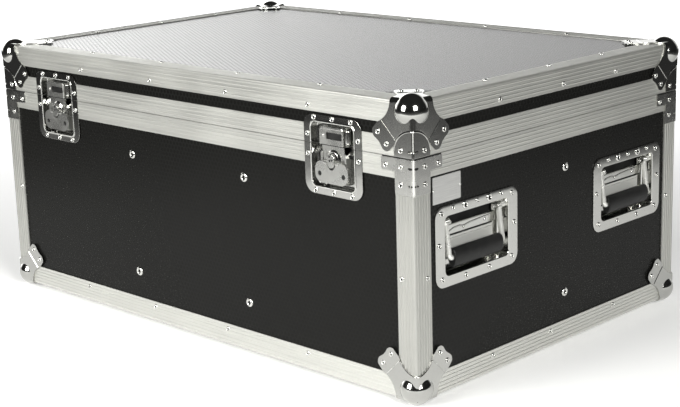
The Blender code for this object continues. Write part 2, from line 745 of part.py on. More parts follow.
def build_handles():
    makers = (("handle_dish_", build_handle_dish), ("handle_bail_", build_bail), ("handle_grip_", build_grip))
    for stem, maker in makers:
        copies(maker(), [stem + name for name in HANDLES], handle_places())


# Hinges. Local X runs along the case, Y out of its back from the extrusion's face, Z up from the split.

def build_hinge_leaf(name, up, knuckles, pinned):
    """A leaf on the rim with its knuckles; the base leaf also holds the pin."""
    near, far = sorted((up * 0.6, up * 24.0))
    leaf = slab(name, [rounded_rectangle(-HINGE_HALF, HINGE_HALF, near, far, 0.0 if up > 0 else 4.0,
                                         4.0 if up > 0 else 0.0, 2)], GAP, GAP + WALL, "Y")
    for low, high in knuckles:
        web = sorted((up * 0.9, up * (KNUCKLE_RADIUS - 0.2)))
        fuse(leaf, block("web", (low + 0.3, GAP + 0.4, web[0]), (high - 0.3, HINGE_OUT, web[1])))
        fuse(leaf, cylinder("knuckle", (HINGE_OUT, 0.0), KNUCKLE_RADIUS, low, high, "X", 14))
    if pinned:
        fuse(leaf, cylinder("pin", (HINGE_OUT, 0.0), PIN_RADIUS, -12.0, 12.0, "X", 12))
    else:
        cut(leaf, cylinder("bore", (HINGE_OUT, 0.0), PIN_RADIUS + 0.4, -12.0, 12.0, "X", 12))
    return finish(leaf, "nickel", smooth_angle=30)


def build_hinges():
    places = [Matrix.Translation(Vector((x, HALF_Y, SPLIT)) * MM) for x in (-HINGE_X, HINGE_X)]
    base = build_hinge_leaf("hinge_base_leaf", -1, ((-30.0, -11.0), (11.0, 30.0)), True)
    copies(base, ["hinge_base_leaf_left", "hinge_base_leaf_right"], places)
    lid = build_hinge_leaf("hinge_lid_leaf", 1, ((-10.4, 10.4),), False)
    copies(lid, ["hinge_lid_leaf_left", "hinge_lid_leaf_right"], places)


clear_scene()
CASE = bpy.data.collections.new("par_can_flight_case")
bpy.context.scene.collection.children.link(CASE)
MATERIALS = {name: make_material(name) for name in COLOURS}

build_edge_frames()
build_corner_posts()
build_rims()
build_base_panels()
build_lid_panels()
build_dividers()
build_ball_corners()
build_braces()
build_latches()
build_handles()
build_hinges()
bpy.context.view_layer.update()
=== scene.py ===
"""Looks of a hinged-lid flight case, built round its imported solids.

The case is black laminated ply in aluminium extrusion, with plated ball corners, corner braces, two
butterfly latches and four recessed handles. Each sub-assembly is a class that holds its sizes in
millimetres, builds its meshes in that unit and hands them over as finished pieces in metres.
"""
import logging
import math
from dataclasses import dataclass, field
from enum import Enum

import bmesh
import bpy
from mathutils import Matrix, Vector


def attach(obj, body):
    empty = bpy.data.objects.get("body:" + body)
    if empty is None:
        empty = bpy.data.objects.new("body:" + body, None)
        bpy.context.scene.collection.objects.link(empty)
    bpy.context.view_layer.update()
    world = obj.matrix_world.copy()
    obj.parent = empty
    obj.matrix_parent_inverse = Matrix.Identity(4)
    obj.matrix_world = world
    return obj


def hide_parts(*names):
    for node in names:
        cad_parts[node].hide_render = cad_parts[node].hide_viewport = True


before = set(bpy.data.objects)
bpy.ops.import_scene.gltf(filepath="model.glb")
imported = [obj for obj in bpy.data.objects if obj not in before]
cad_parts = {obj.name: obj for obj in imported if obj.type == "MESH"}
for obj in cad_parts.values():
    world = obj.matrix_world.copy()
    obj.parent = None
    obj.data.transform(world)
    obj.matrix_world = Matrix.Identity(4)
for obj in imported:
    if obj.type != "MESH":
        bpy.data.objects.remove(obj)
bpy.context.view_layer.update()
LOG = logging.getLogger("flight_case")

MM = 0.001
MERGE = 0.001
SIDES = (-1, 1)
UP = Vector((0, 0, 1))

Point = tuple[float, float, float]
Rows = tuple[Point, ...]
Outline = list[tuple[float, float]]
Loops = list[list[Vector]]
Inputs = dict[str | int, object]
Mesh = bpy.types.Mesh
Socket = bpy.types.NodeSocket


class Corner(Enum):
    """The four upright corners of the case, with the quarter turns that lead to each."""

    FRONT_LEFT = 0
    FRONT_RIGHT = 1
    BACK_RIGHT = 2
    BACK_LEFT = 3

    @property
    def word(self) -> str:
        """The corner's name as the solids use it."""
        return self.name.lower()

    @property
    def signs(self) -> tuple[int, int]:
        """The signs of X and Y at the corner."""
        return ((-1, -1), (1, -1), (1, 1), (-1, 1))[self.value]


class Facing(Enum):
    """How a flat shape drawn in (u, v) with its front towards w lies on a face of the case."""

    FRONT = ((1, 0, 0), (0, 0, -1), (0, 1, 0))
    SIDE = ((0, 0, -1), (0, 1, 0), (1, 0, 0))
    UNDER = ((0, 1, 0), (1, 0, 0), (0, 0, -1))
    OUTWARD = ((0, 0, 1), (1, 0, 0), (0, 1, 0))
    BACK = ((-1, 0, 0), (0, 0, 1), (0, 1, 0))

    @property
    def matrix(self) -> Matrix:
        """The turn as a four by four matrix."""
        return Matrix(self.value).to_4x4()


def at(u: float, v: float, w: float = 0.0) -> Matrix:
    """The shift by that much."""
    return Matrix.Translation((u, v, w))


# Turns that lay a shape drawn along w along u or along v instead
ALONG_U = Matrix.Rotation(math.pi / 2, 4, "Y")
ALONG_V = Matrix.Rotation(-math.pi / 2, 4, "X")
CYCLE = Facing.OUTWARD.matrix
THREE_FACES = (Facing.FRONT, Facing.SIDE, Facing.UNDER)


@dataclass(frozen=True)
class CaseSize:
    """Heights and half widths of the box over its extrusion, in millimetres."""

    half_x: float = 430.0
    half_y: float = 290.0
    bottom: float = 8.0
    top: float = 393.0
    split: float = 322.0
    leg: float = 30.0
    base_rim: float = 27.0
    panel_in: float = 1.9
    panel_back: float = 10.9
    plate_low: float = 0.3
    plate_high: float = 1.6

    def corner_place(self, corner: Corner, height: float, upside_down: bool = False) -> Matrix:
        """The frame at a corner whose X and Y run inward along its two faces.

        Args:
            corner: which upright corner.
            height: the height of the frame's origin above the floor.
            upside_down: whether Z runs down, as at the lid's top corners.

        Returns:
            The matrix from that frame to the case's.
        """
        sign_x, sign_y = corner.signs
        place = at(sign_x * self.half_x, sign_y * self.half_y, height)
        place @= Matrix.Rotation(math.radians(90 * corner.value), 4, "Z")
        if upside_down:
            place @= Matrix.Rotation(math.pi, 4, Vector((1, 1, 0)).normalized())
        return place


CASE = CaseSize()


def frame_at(spot: Vector, out: Vector, along: Vector) -> Matrix:
    """A frame on a surface.

    Args:
        spot: its origin.
        out: its Z, out of the surface.
        along: its X, along the surface.

    Returns:
        The matrix.
    """
    frame = Matrix((along, out.cross(along), out)).transposed().to_4x4()
    frame.translation = spot
    return frame


# Outlines

def arc(centre: tuple[float, float], radius: float, start: float, end: float, steps: int) -> Outline:
    """Points on an arc, both ends included.

    Args:
        centre: the arc's centre.
        radius: its radius.
        start: the first point's angle in degrees.
        end: the last point's angle in degrees.
        steps: how many chords it has.

    Returns:
        The points in order.
    """
    turns = [math.radians(start + (end - start) * i / steps) for i in range(steps + 1)]
    return [(centre[0] + radius * math.cos(a), centre[1] + radius * math.sin(a)) for a in turns]


def rounded_rectangle(half: float, low: float, high: float, radius: float, steps: int = 6) -> Outline:
    """A rectangle about u = 0 with round corners, anticlockwise from its lower left.

    Args:
        half: half its width.
        low: its lowest v.
        high: its highest v.
        radius: the corners' radius.
        steps: the chords in each corner.

    Returns:
        The outline's points.
    """
    points: Outline = []
    low, high = low + radius, high - radius
    for sign, v, start in ((-1, low, 180), (1, low, 270), (1, high, 0), (-1, high, 90)):
        points += arc((sign * (half - radius), v), radius, start, start + 90, steps)
    return points


def mirrored(half: Outline) -> Outline:
    """An outline about u = 0 from the points of its right half."""
    return half + [(-u, v) for u, v in reversed(half)]


def rings(size: Point, rows: Rows, level: float = 0.0) -> Loops:
    """Loops round a rounded rectangle.

    Args:
        size: its half width, its lowest v and its highest v.
        rows: for each loop how far outside it lies, its corner radius and its w.
        level: what is added to every w.

    Returns:
        The loops.
    """
    half, low, high = size
    loops = []
    for out, radius, w in rows:
        outline = rounded_rectangle(half + out, low - out, high + out, radius)
        loops.append([Vector((u, v, level + w)) for u, v in outline])
    return loops


# Meshes, all in millimetres

def mesh_from(bm: bmesh.types.BMesh, tidy: bool = False, merge: bool = False) -> Mesh:
    """Turn a bmesh into a mesh and free it.

    Args:
        bm: the bmesh.
        tidy: whether its normals are recalculated to point outward.
        merge: whether points that coincide are merged first, after which it is tidied too.

    Returns:
        The mesh.
    """
    if merge:
        bmesh.ops.remove_doubles(bm, verts=bm.verts, dist=MERGE)
    if tidy or merge:
        bmesh.ops.recalc_face_normals(bm, faces=bm.faces)
    mesh = bpy.data.meshes.new("shape")
    bm.to_mesh(mesh)
    bm.free()
    return mesh


def bmesh_from(*meshes: Mesh) -> bmesh.types.BMesh:
    """One bmesh that holds several meshes.

    Args:
        meshes: the meshes to copy into it.

    Returns:
        A new bmesh.
    """
    bm = bmesh.new()
    for mesh in meshes:
        bm.from_mesh(mesh)
    return bm


def joined(*meshes: Mesh) -> Mesh:
    """Several meshes as one, each keeping its own closed skin."""
    return mesh_from(bmesh_from(*meshes))


def band(bm: bmesh.types.BMesh, lower: list, upper: list) -> None:
    """Join two loops of vertices with a band of faces.

    Args:
        bm: the bmesh that they are in.
        lower: the first loop.
        upper: the second, of equal count.
    """
    for i, start in enumerate(lower):
        j = (i + 1) % len(lower)
        bm.faces.new((start, lower[j], upper[j], upper[i]))


def bevelled(bm: bmesh.types.BMesh, edges: list, radius: float, segments: int = 2,
             clamp: bool = False) -> Mesh:
    """Round some edges of a bmesh and make it a mesh.

    Args:
        bm: the bmesh, which is freed.
        edges: its edges to round.
        radius: the rounding, or nothing to leave the edges sharp.
        segments: the faces across the rounding.
        clamp: whether roundings stop where they meet.

    Returns:
        The mesh.
    """
    if radius:
        bmesh.ops.bevel(bm, geom=edges, offset=radius, segments=segments, profile=0.5, affect="EDGES",
                        clamp_overlap=clamp)
    return mesh_from(bm, tidy=True)


def plate(outline: Outline, low: float, high: float, rounding: float = 0.0, segments: int = 2) -> Mesh:
    """A flat plate whose front edge is rounded over.

    Args:
        outline: its points in (u, v), anticlockwise.
        low: the back's w.
        high: the front's w.
        rounding: the radius on the front edge.
        segments: the steps in that radius.

    Returns:
        The plate's mesh.
    """
    bm = bmesh.new()
    back, front = [[bm.verts.new((u, v, w)) for u, v in outline] for w in (low, high)]
    bm.faces.new(reversed(back))
    face = bm.faces.new(front)
    band(bm, back, front)
    return bevelled(bm, list(face.edges), rounding, segments, clamp=True)


def block(low: Point, high: Point, rounding: float = 0.0) -> Mesh:
    """A box between two corners, with every edge rounded.

    Args:
        low: its lowest corner.
        high: its highest corner.
        rounding: the radius on its edges.

    Returns:
        The box's mesh.
    """
    bm = bmesh.new()
    bmesh.ops.create_cube(bm, size=1.0)
    bmesh.ops.scale(bm, vec=[b - a for a, b in zip(low, high)], verts=bm.verts)
    bmesh.ops.translate(bm, vec=[(a + b) / 2 for a, b in zip(low, high)], verts=bm.verts)
    return bevelled(bm, list(bm.edges), rounding)


def lofted(loops: Loops, start: bool = False, end: bool = True, tidy: bool = False,
           merge: bool = False) -> Mesh:
    """A skin over closed loops of equal count, each running anticlockwise about the way it goes.

    Args:
        loops: the loops in order.
        start: whether the first loop is filled.
        end: whether the last loop is filled.
        tidy: whether its normals are recalculated.
        merge: whether the last loop is the first again, so that the skin closes on itself.

    Returns:
        The skin's mesh.
    """
    bm = bmesh.new()
    rows = [[bm.verts.new(point) for point in loop] for loop in loops]
    for lower, upper in zip(rows, rows[1:]):
        band(bm, lower, upper)
    if start:
        bm.faces.new(reversed(rows[0]))
    if end:
        bm.faces.new(rows[-1])
    return mesh_from(bm, tidy, merge)


def turned(profile: Outline, steps: int) -> Mesh:
    """A turned solid about the w axis.

    Args:
        profile: its (radius, height) points, lowest first.
        steps: how many facets it has round.

    Returns:
        The solid's mesh.
    """
    turns = [2 * math.pi * i / steps for i in range(steps)]
    loops = [[Vector((radius * math.cos(a), radius * math.sin(a), height)) for a in turns]
             for radius, height in profile]
    return lofted(loops, start=True)


def ball(centre: Point, radius: float, segments: int, rows: int) -> Mesh:
    """A sphere.

    Args:
        centre: its centre.
        radius: its radius.
        segments: the facets round it.
        rows: the rows from pole to pole.

    Returns:
        The sphere's mesh.
    """
    bm = bmesh.new()
    bmesh.ops.create_uvsphere(bm, u_segments=segments, v_segments=rows, radius=radius)
    bmesh.ops.translate(bm, vec=centre, verts=bm.verts)
    return mesh_from(bm)


def tube(points: list[Point], radius: float, roundness: int) -> Mesh:
    """A round rod along a route, with closed ends.

    Args:
        points: the route's points.
        radius: the rod's radius.
        roundness: the curve's bevel resolution.

    Returns:
        The rod's mesh.
    """
    curve = bpy.data.curves.new("route", "CURVE")
    curve.dimensions = "3D"
    curve.bevel_depth = radius
    curve.bevel_resolution = roundness
    curve.use_fill_caps = True
    spline = curve.splines.new("POLY")
    spline.points.add(len(points) - 1)
    for knot, place in zip(spline.points, points):
        knot.co = (*place, 1.0)
    return mesh_from(bmesh_from(evaluated(holder_of(curve))), merge=True)


def holder_of(data: bpy.types.ID, name: str = "holder") -> bpy.types.Object:
    """Put data in the scene under an object of its own.

    Args:
        data: a mesh, a curve, a light or a camera.
        name: the object's name.

    Returns:
        The object.
    """
    holder = bpy.data.objects.new(name, data)
    bpy.context.scene.collection.objects.link(holder)
    return holder


def evaluated(holder: bpy.types.Object) -> Mesh:
    """The plain mesh that an object's modifiers or curve make.

    Args:
        holder: the object, which is removed.

    Returns:
        The mesh.
    """
    bpy.context.view_layer.update()
    graph = bpy.context.evaluated_depsgraph_get()
    mesh = bpy.data.meshes.new_from_object(holder.evaluated_get(graph))
    holder.modifiers.clear()
    bpy.data.objects.remove(holder)
    return mesh


def modified(mesh: Mesh, kind: str, **settings: object) -> Mesh:
    """The plain mesh that one modifier makes of a mesh.

    Args:
        mesh: the mesh.
        kind: the modifier's type.
        settings: its properties.

    Returns:
        The new mesh.
    """
    holder = holder_of(mesh)
    modifier = holder.modifiers.new("step", kind)
    for key, value in settings.items():
        setattr(modifier, key, value)
    return evaluated(holder)


def carved(mesh: Mesh, *cutters: Mesh) -> Mesh:
    """A mesh with each cutter taken out of it.

    Args:
        mesh: the solid to cut.
        cutters: closed solids.

    Returns:
        The cut mesh.
    """
    for cutter in cutters:
        tool = holder_of(cutter)
        mesh = modified(mesh, "BOOLEAN", operation="DIFFERENCE", solver="EXACT", object=tool)
        bpy.data.objects.remove(tool)
    return mesh


def thickened(mesh: Mesh, sheet: float) -> Mesh:
    """A skin given the thickness of its sheet, behind the faces that it shows."""
    return modified(mesh, "SOLIDIFY", thickness=sheet, offset=-1.0, use_even_offset=True)


def cut(bm: bmesh.types.BMesh, point: Point, normal: Point, **cleared: bool) -> dict[str, list]:
    """Cut a whole bmesh along a plane, with the sides to clear, and give what the cut made."""
    geometry = bm.verts[:] + bm.edges[:] + bm.faces[:]
    return bmesh.ops.bisect_plane(bm, geom=geometry, plane_co=point, plane_no=normal, **cleared)


def halved(mesh: Mesh, height: float) -> Mesh:
    """What a closed mesh has beyond a height, above it when positive and below it when negative.

    Args:
        mesh: the closed mesh.
        height: the v of the cut.

    Returns:
        The part that stays, with the cut closed.
    """
    bm = bmesh_from(mesh)
    made = cut(bm, (0, height, 0), (0, 1, 0), clear_inner=height > 0, clear_outer=height < 0)
    rim = [e for e in made["geom_cut"] if isinstance(e, bmesh.types.BMEdge)]
    bmesh.ops.holes_fill(bm, edges=rim, sides=0)
    return mesh_from(bm)


def placed(mesh: Mesh, *matrices: Matrix) -> Mesh:
    """A copy of a mesh under one or more matrices, applied from the last to the first.

    Args:
        mesh: the mesh, which stays as it is.
        matrices: the matrices, outermost first.

    Returns:
        The turned copy.
    """
    total = Matrix.Identity(4)
    for matrix in matrices:
        total = total @ matrix
    copy = mesh.copy()
    copy.transform(total)
    if total.determinant() < 0:
        copy.flip_normals()
    return copy


def folded(mesh: Mesh, radius: float, highlight_above: float = 0.0, highlight_half: float = 0.0) -> Mesh:
    """A flat plate bent round the upright arris at u = 0, so that it lies on both faces of a corner.

    The plate's u is its developed length: positive u ends on the face that looks along -Y, negative u
    on the one that looks along -X. Its w is the distance out from the extrusion.

    Args:
        mesh: the flat plate, with its front towards w.
        radius: the arris's own radius.
        highlight_above: the v above which the arris carries a painted highlight, kept as an attribute.
        highlight_half: how far to each side the painted highlight reaches, or 0 where there is none.

    Returns:
        The folded mesh in a corner's frame.
    """
    neutral, bends = 0.9, 3
    bm = bmesh_from(mesh)
    reach = (radius + neutral) * math.pi / 4
    for step in range(-bends, bends + 1):
        cut(bm, (reach * step / bends, 0, 0), (1, 0, 0))
    # Painted highlight: a pale dull strip along the arris, kept as a mesh attribute for the finish
    worn = bm.verts.layers.float.new("worn")
    for vert in bm.verts:
        u, v, w = vert.co
        vert[worn] = max(0.0, 1.0 - abs(u) / highlight_half) if highlight_half and v > highlight_above else 0.0
        if abs(u) >= reach:
            along = radius + abs(u) - reach
            vert.co = (along, -w, v) if u > 0 else (-w, along, v)
        else:
            angle = math.pi / 4 * (1 - u / reach)
            vert.co = (radius - (radius + w) * math.sin(angle), radius - (radius + w) * math.cos(angle), v)
    return mesh_from(bm, tidy=True)


# Finishes

class Nodes:
    """A node tree, built a node at a time."""

    def __init__(self, tree: bpy.types.NodeTree) -> None:
        """Take the tree to build in."""
        self.tree = tree

    def feed(self, socket: Socket, value: object) -> None:
        """Link an input or set it.

        Args:
            socket: a node's input.
            value: a socket to link to it, or the value to give it.
        """
        if isinstance(value, Socket):
            self.tree.links.new(value, socket)
        else:
            socket.default_value = value

    def node(self, kind: str, inputs: Inputs | None = None, **settings: object) -> bpy.types.Node:
        """Add a node.

        Args:
            kind: the node's type.
            inputs: its inputs by name or place, each a socket to link or a value to set.
            settings: its own properties.

        Returns:
            The node.
        """
        made = self.tree.nodes.new(kind)
        for key, value in settings.items():
            setattr(made, key, value)
        for key, value in (inputs or {}).items():
            self.feed(made.inputs[key], value)
        return made

    def math(self, operation: str, *values: object) -> Socket:
        """One Math node's result."""
        return self.node("ShaderNodeMath", dict(enumerate(values)), operation=operation).outputs[0]

    def ranged(self, value: Socket, low: float, high: float, new_low: float = 0.0, new_high: object = 1.0,
               way: str = "LINEAR") -> Socket:
        """A value carried from one range to another and held inside it."""
        inputs = {"Value": value, "From Min": low, "From Max": high, "To Min": new_low, "To Max": new_high}
        return self.node("ShaderNodeMapRange", inputs, interpolation_type=way).outputs["Result"]

    def split(self, output: str, azimuth: float = 0.0) -> tuple[Socket, Socket, Socket]:
        """Texture coordinates, one by one.

        Args:
            output: which texture coordinates.
            azimuth: how far they are turned about Z, in degrees.

        Returns:
            Their X, Y and Z.
        """
        turn = (0.0, 0.0, -math.radians(azimuth))
        place = self.node("ShaderNodeMapping", {
            "Vector": self.node("ShaderNodeTexCoord").outputs[output], "Rotation": turn})
        return tuple(self.node("ShaderNodeSeparateXYZ", {0: place.outputs[0]}).outputs)


class Shader(Nodes):
    """A material's nodes round its Principled shader."""

    def __init__(self, name: str) -> None:
        """Start a material.

        Args:
            name: its name.
        """
        self.material = bpy.data.materials.new(name)
        self.material.use_nodes = True
        super().__init__(self.material.node_tree)
        self.surface = self.tree.nodes["Principled BSDF"]

    def give(self, **inputs: object) -> None:
        """Set the surface's inputs, whose names have underscores for spaces."""
        for name, value in inputs.items():
            self.feed(self.surface.inputs[name.replace("_", " ")], value)

    def noise(self, scale: float, detail: float = 3.0, roughness: float = 0.5,
              stretch: Point = (1, 1, 1)) -> Socket:
        """A noise over the object coordinates.

        Args:
            scale: its scale.
            detail: its octaves.
            roughness: how much the finer octaves weigh.
            stretch: what the object coordinates are scaled by.

        Returns:
            Its value.
        """
        place = self.node("ShaderNodeMapping", {
            "Vector": self.node("ShaderNodeTexCoord").outputs["Object"], "Scale": stretch})
        inputs = {"Vector": place.outputs[0], "Scale": scale, "Detail": detail, "Roughness": roughness}
        return self.node("ShaderNodeTexNoise", inputs).outputs["Fac"]

    def attribute(self, name: str) -> Socket:
        """A mesh attribute's value."""
        return self.node("ShaderNodeAttribute", attribute_name=name).outputs["Fac"]

    def mixed(self, share: object, first: object, second: object) -> Socket:
        """Two colours mixed by a share."""
        return self.node("ShaderNodeMix", {0: share, 6: first, 7: second}, data_type="RGBA").outputs[2]

    def bump(self, height: Socket, distance: float, strength: float, under: Socket | None = None) -> Socket:
        """A bump from a height.

        Args:
            height: the height, 0 to 1.
            distance: the height in metres that 1 stands for.
            strength: the bump's strength.
            under: the normal of a bump below this one.

        Returns:
            The normal.
        """
        inputs = {"Height": height, "Distance": distance, "Strength": strength}
        if under:
            inputs["Normal"] = under
        return self.node("ShaderNodeBump", inputs).outputs["Normal"]


def grey(level: float, warmth: float = 0.0) -> tuple[float, float, float, float]:
    """A grey of that linear level, whose blue falls by a share."""
    return (level, level, level * (1 - warmth), 1.0)


@dataclass(frozen=True)
class Coat:
    """A finish: the name of its material and a slot name, which is not used."""

    name: str
    slot: str

    def build(self) -> bpy.types.Material:
        """Build the finish's material.

        Returns:
            The material.
        """
        shader = Shader(self.name)
        self.paint(shader)
        return shader.material

    def paint(self, shader: Shader) -> None:
        """Set the surface, in a way of its own for each finish."""


class Plane(Enum):
    """Which pair of object coordinates a panel's pattern runs in."""

    UPRIGHT = "upright"
    FLAT = "flat"


@dataclass(frozen=True)
class Laminate(Coat):
    """Black phenolic laminate, pressed all over with small hexagons."""

    plane: Plane
    specular: float
    relief: float
    dulled: float
    pitch: float = 0.0070
    level: float = 0.0065
    gloss: float = 0.27

    def paint(self, shader: Shader) -> None:
        """Paint the laminate.

        Args:
            shader: the material in the making.
        """
        x, y, z = shader.split("Object")
        across, along = (shader.math("ADD", x, y), z) if self.plane is Plane.UPRIGHT else (y, x)
        cell = shader.math("MINIMUM", *[self.nearest(shader, across, along, shift) for shift in (0.0, 0.5)])
        wall = shader.ranged(cell, 0.34, 0.50)
        fine = shader.noise(900.0, 2.0)
        shader.give(
            Base_Color=shader.mixed(shader.ranged(shader.noise(4.0, 4.0), 0.35, 0.75, 0.0, 0.5),
                                    grey(self.level, 0.08), grey(self.level * 1.4, 0.10)),
            Roughness=shader.ranged(wall, 0.0, 1.0, self.gloss, self.gloss + self.dulled),
            Specular_IOR_Level=self.specular,
            Normal=shader.bump(wall, self.relief, 0.6, shader.bump(fine, 0.00002, 0.5)),
        )

    def nearest(self, shader: Shader, across: Socket, along: Socket, shift: float) -> Socket:
        """Distance to the nearest centre of one of the two grids that make the hexagons.

        Args:
            shader: the material in the making.
            across: the pattern's first coordinate in metres.
            along: its second.
            shift: the grid's shift, in pitches.

        Returns:
            The distance in pitches.
        """
        squares = []
        for value, long in ((across, 1.0), (along, math.sqrt(3))):
            moved = shader.math("ADD", shader.math("DIVIDE", value, self.pitch * long), shift)
            rest = shader.math("SUBTRACT", moved, shader.math("ROUND", moved))
            offset = shader.math("MULTIPLY", rest, long)
            squares.append(shader.math("MULTIPLY", offset, offset))
        return shader.math("SQRT", shader.math("ADD", *squares))


@dataclass(frozen=True)
class Extrusion(Coat):
    """Mill-finish aluminium, drawn along its length."""

    grain: Point
    level: float
    roughness: float = 0.42

    def paint(self, shader: Shader) -> None:
        """Paint the aluminium.

        Args:
            shader: the material in the making.
        """
        drawn = shader.noise(9.0, 4.0, 0.65, self.grain)
        cloud = shader.noise(11.0)
        scuffs = shader.noise(3.0, 6.0, 0.7, (38.0, 38.0, 38.0))
        shade = shader.mixed(shader.ranged(drawn, 0.3, 0.7), grey(self.level * 0.95, 0.05),
                             grey(self.level * 1.05, 0.06))
        dull = shader.ranged(cloud, 0.3, 0.7, self.roughness - 0.04, self.roughness + 0.05)
        shader.give(
            Base_Color=shader.mixed(shader.ranged(scuffs, 0.62, 0.74, 0.0, 0.35), shade,
                                    grey(self.level * 0.7, 0.06)),
            Metallic=0.85,
            Roughness=shader.math("ADD", shader.ranged(drawn, 0.3, 0.7, -0.05, 0.05), dull),
            Normal=shader.bump(drawn, 0.00003, 0.35),
        )


@dataclass(frozen=True)
class Plated(Coat):
    """Plated pressed steel, from mirror bright to the duller face of zinc."""

    level: float
    roughness: float
    ripple: float = 0.00012
    metallic: float = 1.0
    warmth: float = 0.04
    # Whether the finish paints a highlight, pale grey and less metallic, where the mesh's attribute marks the
    # arris
    folded: bool = False

    def paint(self, shader: Shader) -> None:
        """Paint the plating, with a painted highlight along the arris where a folded sheet's attribute says
        so.

        Args:
            shader: the material in the making.
        """
        scratches = shader.noise(1.0, 5.0, 0.7, (900.0, 60.0, 240.0))
        plain = shader.mixed(shader.ranged(shader.noise(520.0), 0.58, 0.75, 0.0, 0.3),
                             grey(self.level, self.warmth), grey(self.level * 0.72, self.warmth * 2))
        dull = shader.ranged(shader.noise(45.0), 0.3, 0.7, self.roughness * 0.75, self.roughness * 1.3)
        pressed = shader.noise(70.0, 1.0)
        shader.give(
            Base_Color=plain,
            Metallic=self.metallic,
            Roughness=shader.math("ADD", dull, shader.ranged(scratches, 0.55, 0.75, 0.0, 0.07)),
            Normal=shader.bump(pressed, self.ripple, 0.35, shader.bump(scratches, 0.00001, 0.3)),
        )
        if self.folded:
            # Painted highlight along the folded arris: pale grey and less metallic
            worn = shader.attribute("worn")
            shader.give(
                Base_Color=shader.mixed(worn, plain, grey(0.75, self.warmth)),
                Metallic=shader.ranged(worn, 0.0, 1.0, self.metallic, 0.2),
            )


@dataclass(frozen=True)
class RivetPlate(Coat):
    """A pop rivet's bright head and the end of its broken pin, painted near black as the shade in its hole,
    told apart by an attribute.
    """

    head: float = 0.72
    # The pin's end: darker steel, painted near black as the shade in the rivet's hole
    core: float = 0.02

    def paint(self, shader: Shader) -> None:
        """Paint the head and the pin.

        Args:
            shader: the material in the making.
        """
        inside, worn = shader.attribute("core"), shader.noise(700.0)
        shader.give(
            Base_Color=shader.mixed(inside, grey(self.head, 0.04), grey(self.core, 0.05)),
            Metallic=1.0,
            Roughness=shader.math("ADD", shader.ranged(worn, 0.3, 0.7, 0.06, 0.14),
                                  shader.math("MULTIPLY", inside, 0.3)),
            Normal=shader.bump(worn, 0.00003, 0.3),
        )


@dataclass(frozen=True)
class Grained(Coat):
    """A plain surface with a coarse grain in its colour and a fine one in its relief.

    Each grain is a noise's scale, detail and roughness and its stretch along X, Y and Z.
    """

    coarse: tuple[float, float, float, Point]
    fine: tuple[float, float, float, Point]
    dark: tuple[float, float]
    light: tuple[float, float]
    rough: tuple[float, float]
    relief: float
    start: float = 0.3
    metallic: float = 0.0
    specular: float = 0.5
    coarse_rough: bool = True

    def paint(self, shader: Shader) -> None:
        """Paint the grain.

        Args:
            shader: the material in the making.
        """
        coarse, fine = shader.noise(*self.coarse), shader.noise(*self.fine)
        share = shader.ranged(coarse, self.start, 0.7)
        shader.give(
            Base_Color=shader.mixed(share, grey(*self.dark), grey(*self.light)),
            Metallic=self.metallic,
            Roughness=shader.ranged(coarse if self.coarse_rough else fine, 0.3, 0.7, *self.rough),
            Specular_IOR_Level=self.specular,
            Normal=shader.bump(fine, self.relief, 0.4),
        )


EVEN = (1.0, 1.0, 1.0)
BRUSHED = (1.0, 4.0, 0.6, (30.0, 30.0, 1800.0))


class Look(Enum):
    """Every finish on the case."""

    PANEL_UPRIGHT = Laminate("laminate_upright", "laminate", Plane.UPRIGHT, 0.10, 0.00002, 0.08)
    PANEL_FLAT = Laminate("laminate_flat", "laminate", Plane.FLAT, 0.8, 0.00011, 0.14)
    EXTRUSION_LEVEL = Extrusion("extrusion_level", "extrusion", (0.6, 0.6, 90.0), 0.62)
    # A darker copy of the same aluminium for the posts, as painted shade
    EXTRUSION_UPRIGHT = Extrusion("extrusion_upright", "extrusion", (90.0, 90.0, 0.6), 0.46)
    CHROME = Plated("bright_plate", "chrome", 0.85, 0.24, 0.00004, 0.65)
    PRESSED = Plated("pressed_plate", "chrome", 0.49, 0.09, 0.00006)
    # The brace finishes paint a highlight along the arris from the folded sheet's attribute
    PRESSED_BRACE = Plated("pressed_brace", "chrome", 0.50, 0.09, 0.00006, folded=True)
    ZINC = Plated("zinc_plate", "nickel", 0.50, 0.25)
    ZINC_BRACE = Plated("zinc_brace", "nickel", 0.50, 0.25, folded=True)
    SATIN_ZINC = Plated("satin_zinc", "nickel", 0.50, 0.26, metallic=0.92)
    BRIGHT_ZINC = Plated("bright_zinc", "nickel", 0.56, 0.12, 0.00024)
    # A paler, less metallic zinc for the lips' crests, as a painted highlight
    WORN_ZINC = Plated("worn_zinc", "nickel", 0.80, 0.22, metallic=0.5)
    MATT_ZINC = Plated("matt_zinc", "nickel", 0.50, 0.35, metallic=0.25)
    DISH = Plated("dish_plate", "nickel", 0.56, 0.12, 0.00016)
    # A darker copy of the dish plating for the latches, as painted shade
    LATCH_DISH = Plated("latch_plate", "nickel", 0.45, 0.12, 0.00016)
    RIVET = RivetPlate("rivet", "nickel")
    RUBBER = Grained("grip_rubber", "rubber", (60.0, 4.0, 0.5, EVEN), (1500.0, 2.0, 0.5, EVEN), (0.007, 0.02),
                     (0.0133, 0.03), (0.42, 0.56), 0.00004, start=0.4, specular=0.3)
    PLY = Grained("painted_ply", "divider_ply", (6.0, 5.0, 0.6, (3.0, 3.0, 60.0)),
                  (2.0, 3.0, 0.5, (40.0, 40.0, 700.0)), (0.028, 0.05), (0.0532, 0.10), (0.55, 0.72), 0.00012,
                  start=0.35, coarse_rough=False)
    BADGE = Grained("badge_plate", "extrusion", BRUSHED, BRUSHED, (0.561, 0.02), (0.726, 0.02), (0.36, 0.48),
                    0.00002, metallic=0.85)

    @property
    def material(self) -> bpy.types.Material:
        """The finish's material, built when it is first asked for."""
        if self not in MATERIALS:
            MATERIALS[self] = self.value.build()
        return MATERIALS[self]


MATERIALS: dict[Look, bpy.types.Material] = {}


def coat(piece: bpy.types.Object, look: Look) -> None:
    """Give a piece its material.

    Args:
        piece: the piece.
        look: its finish.
    """
    piece.data.materials.clear()
    piece.data.materials.append(look.material)


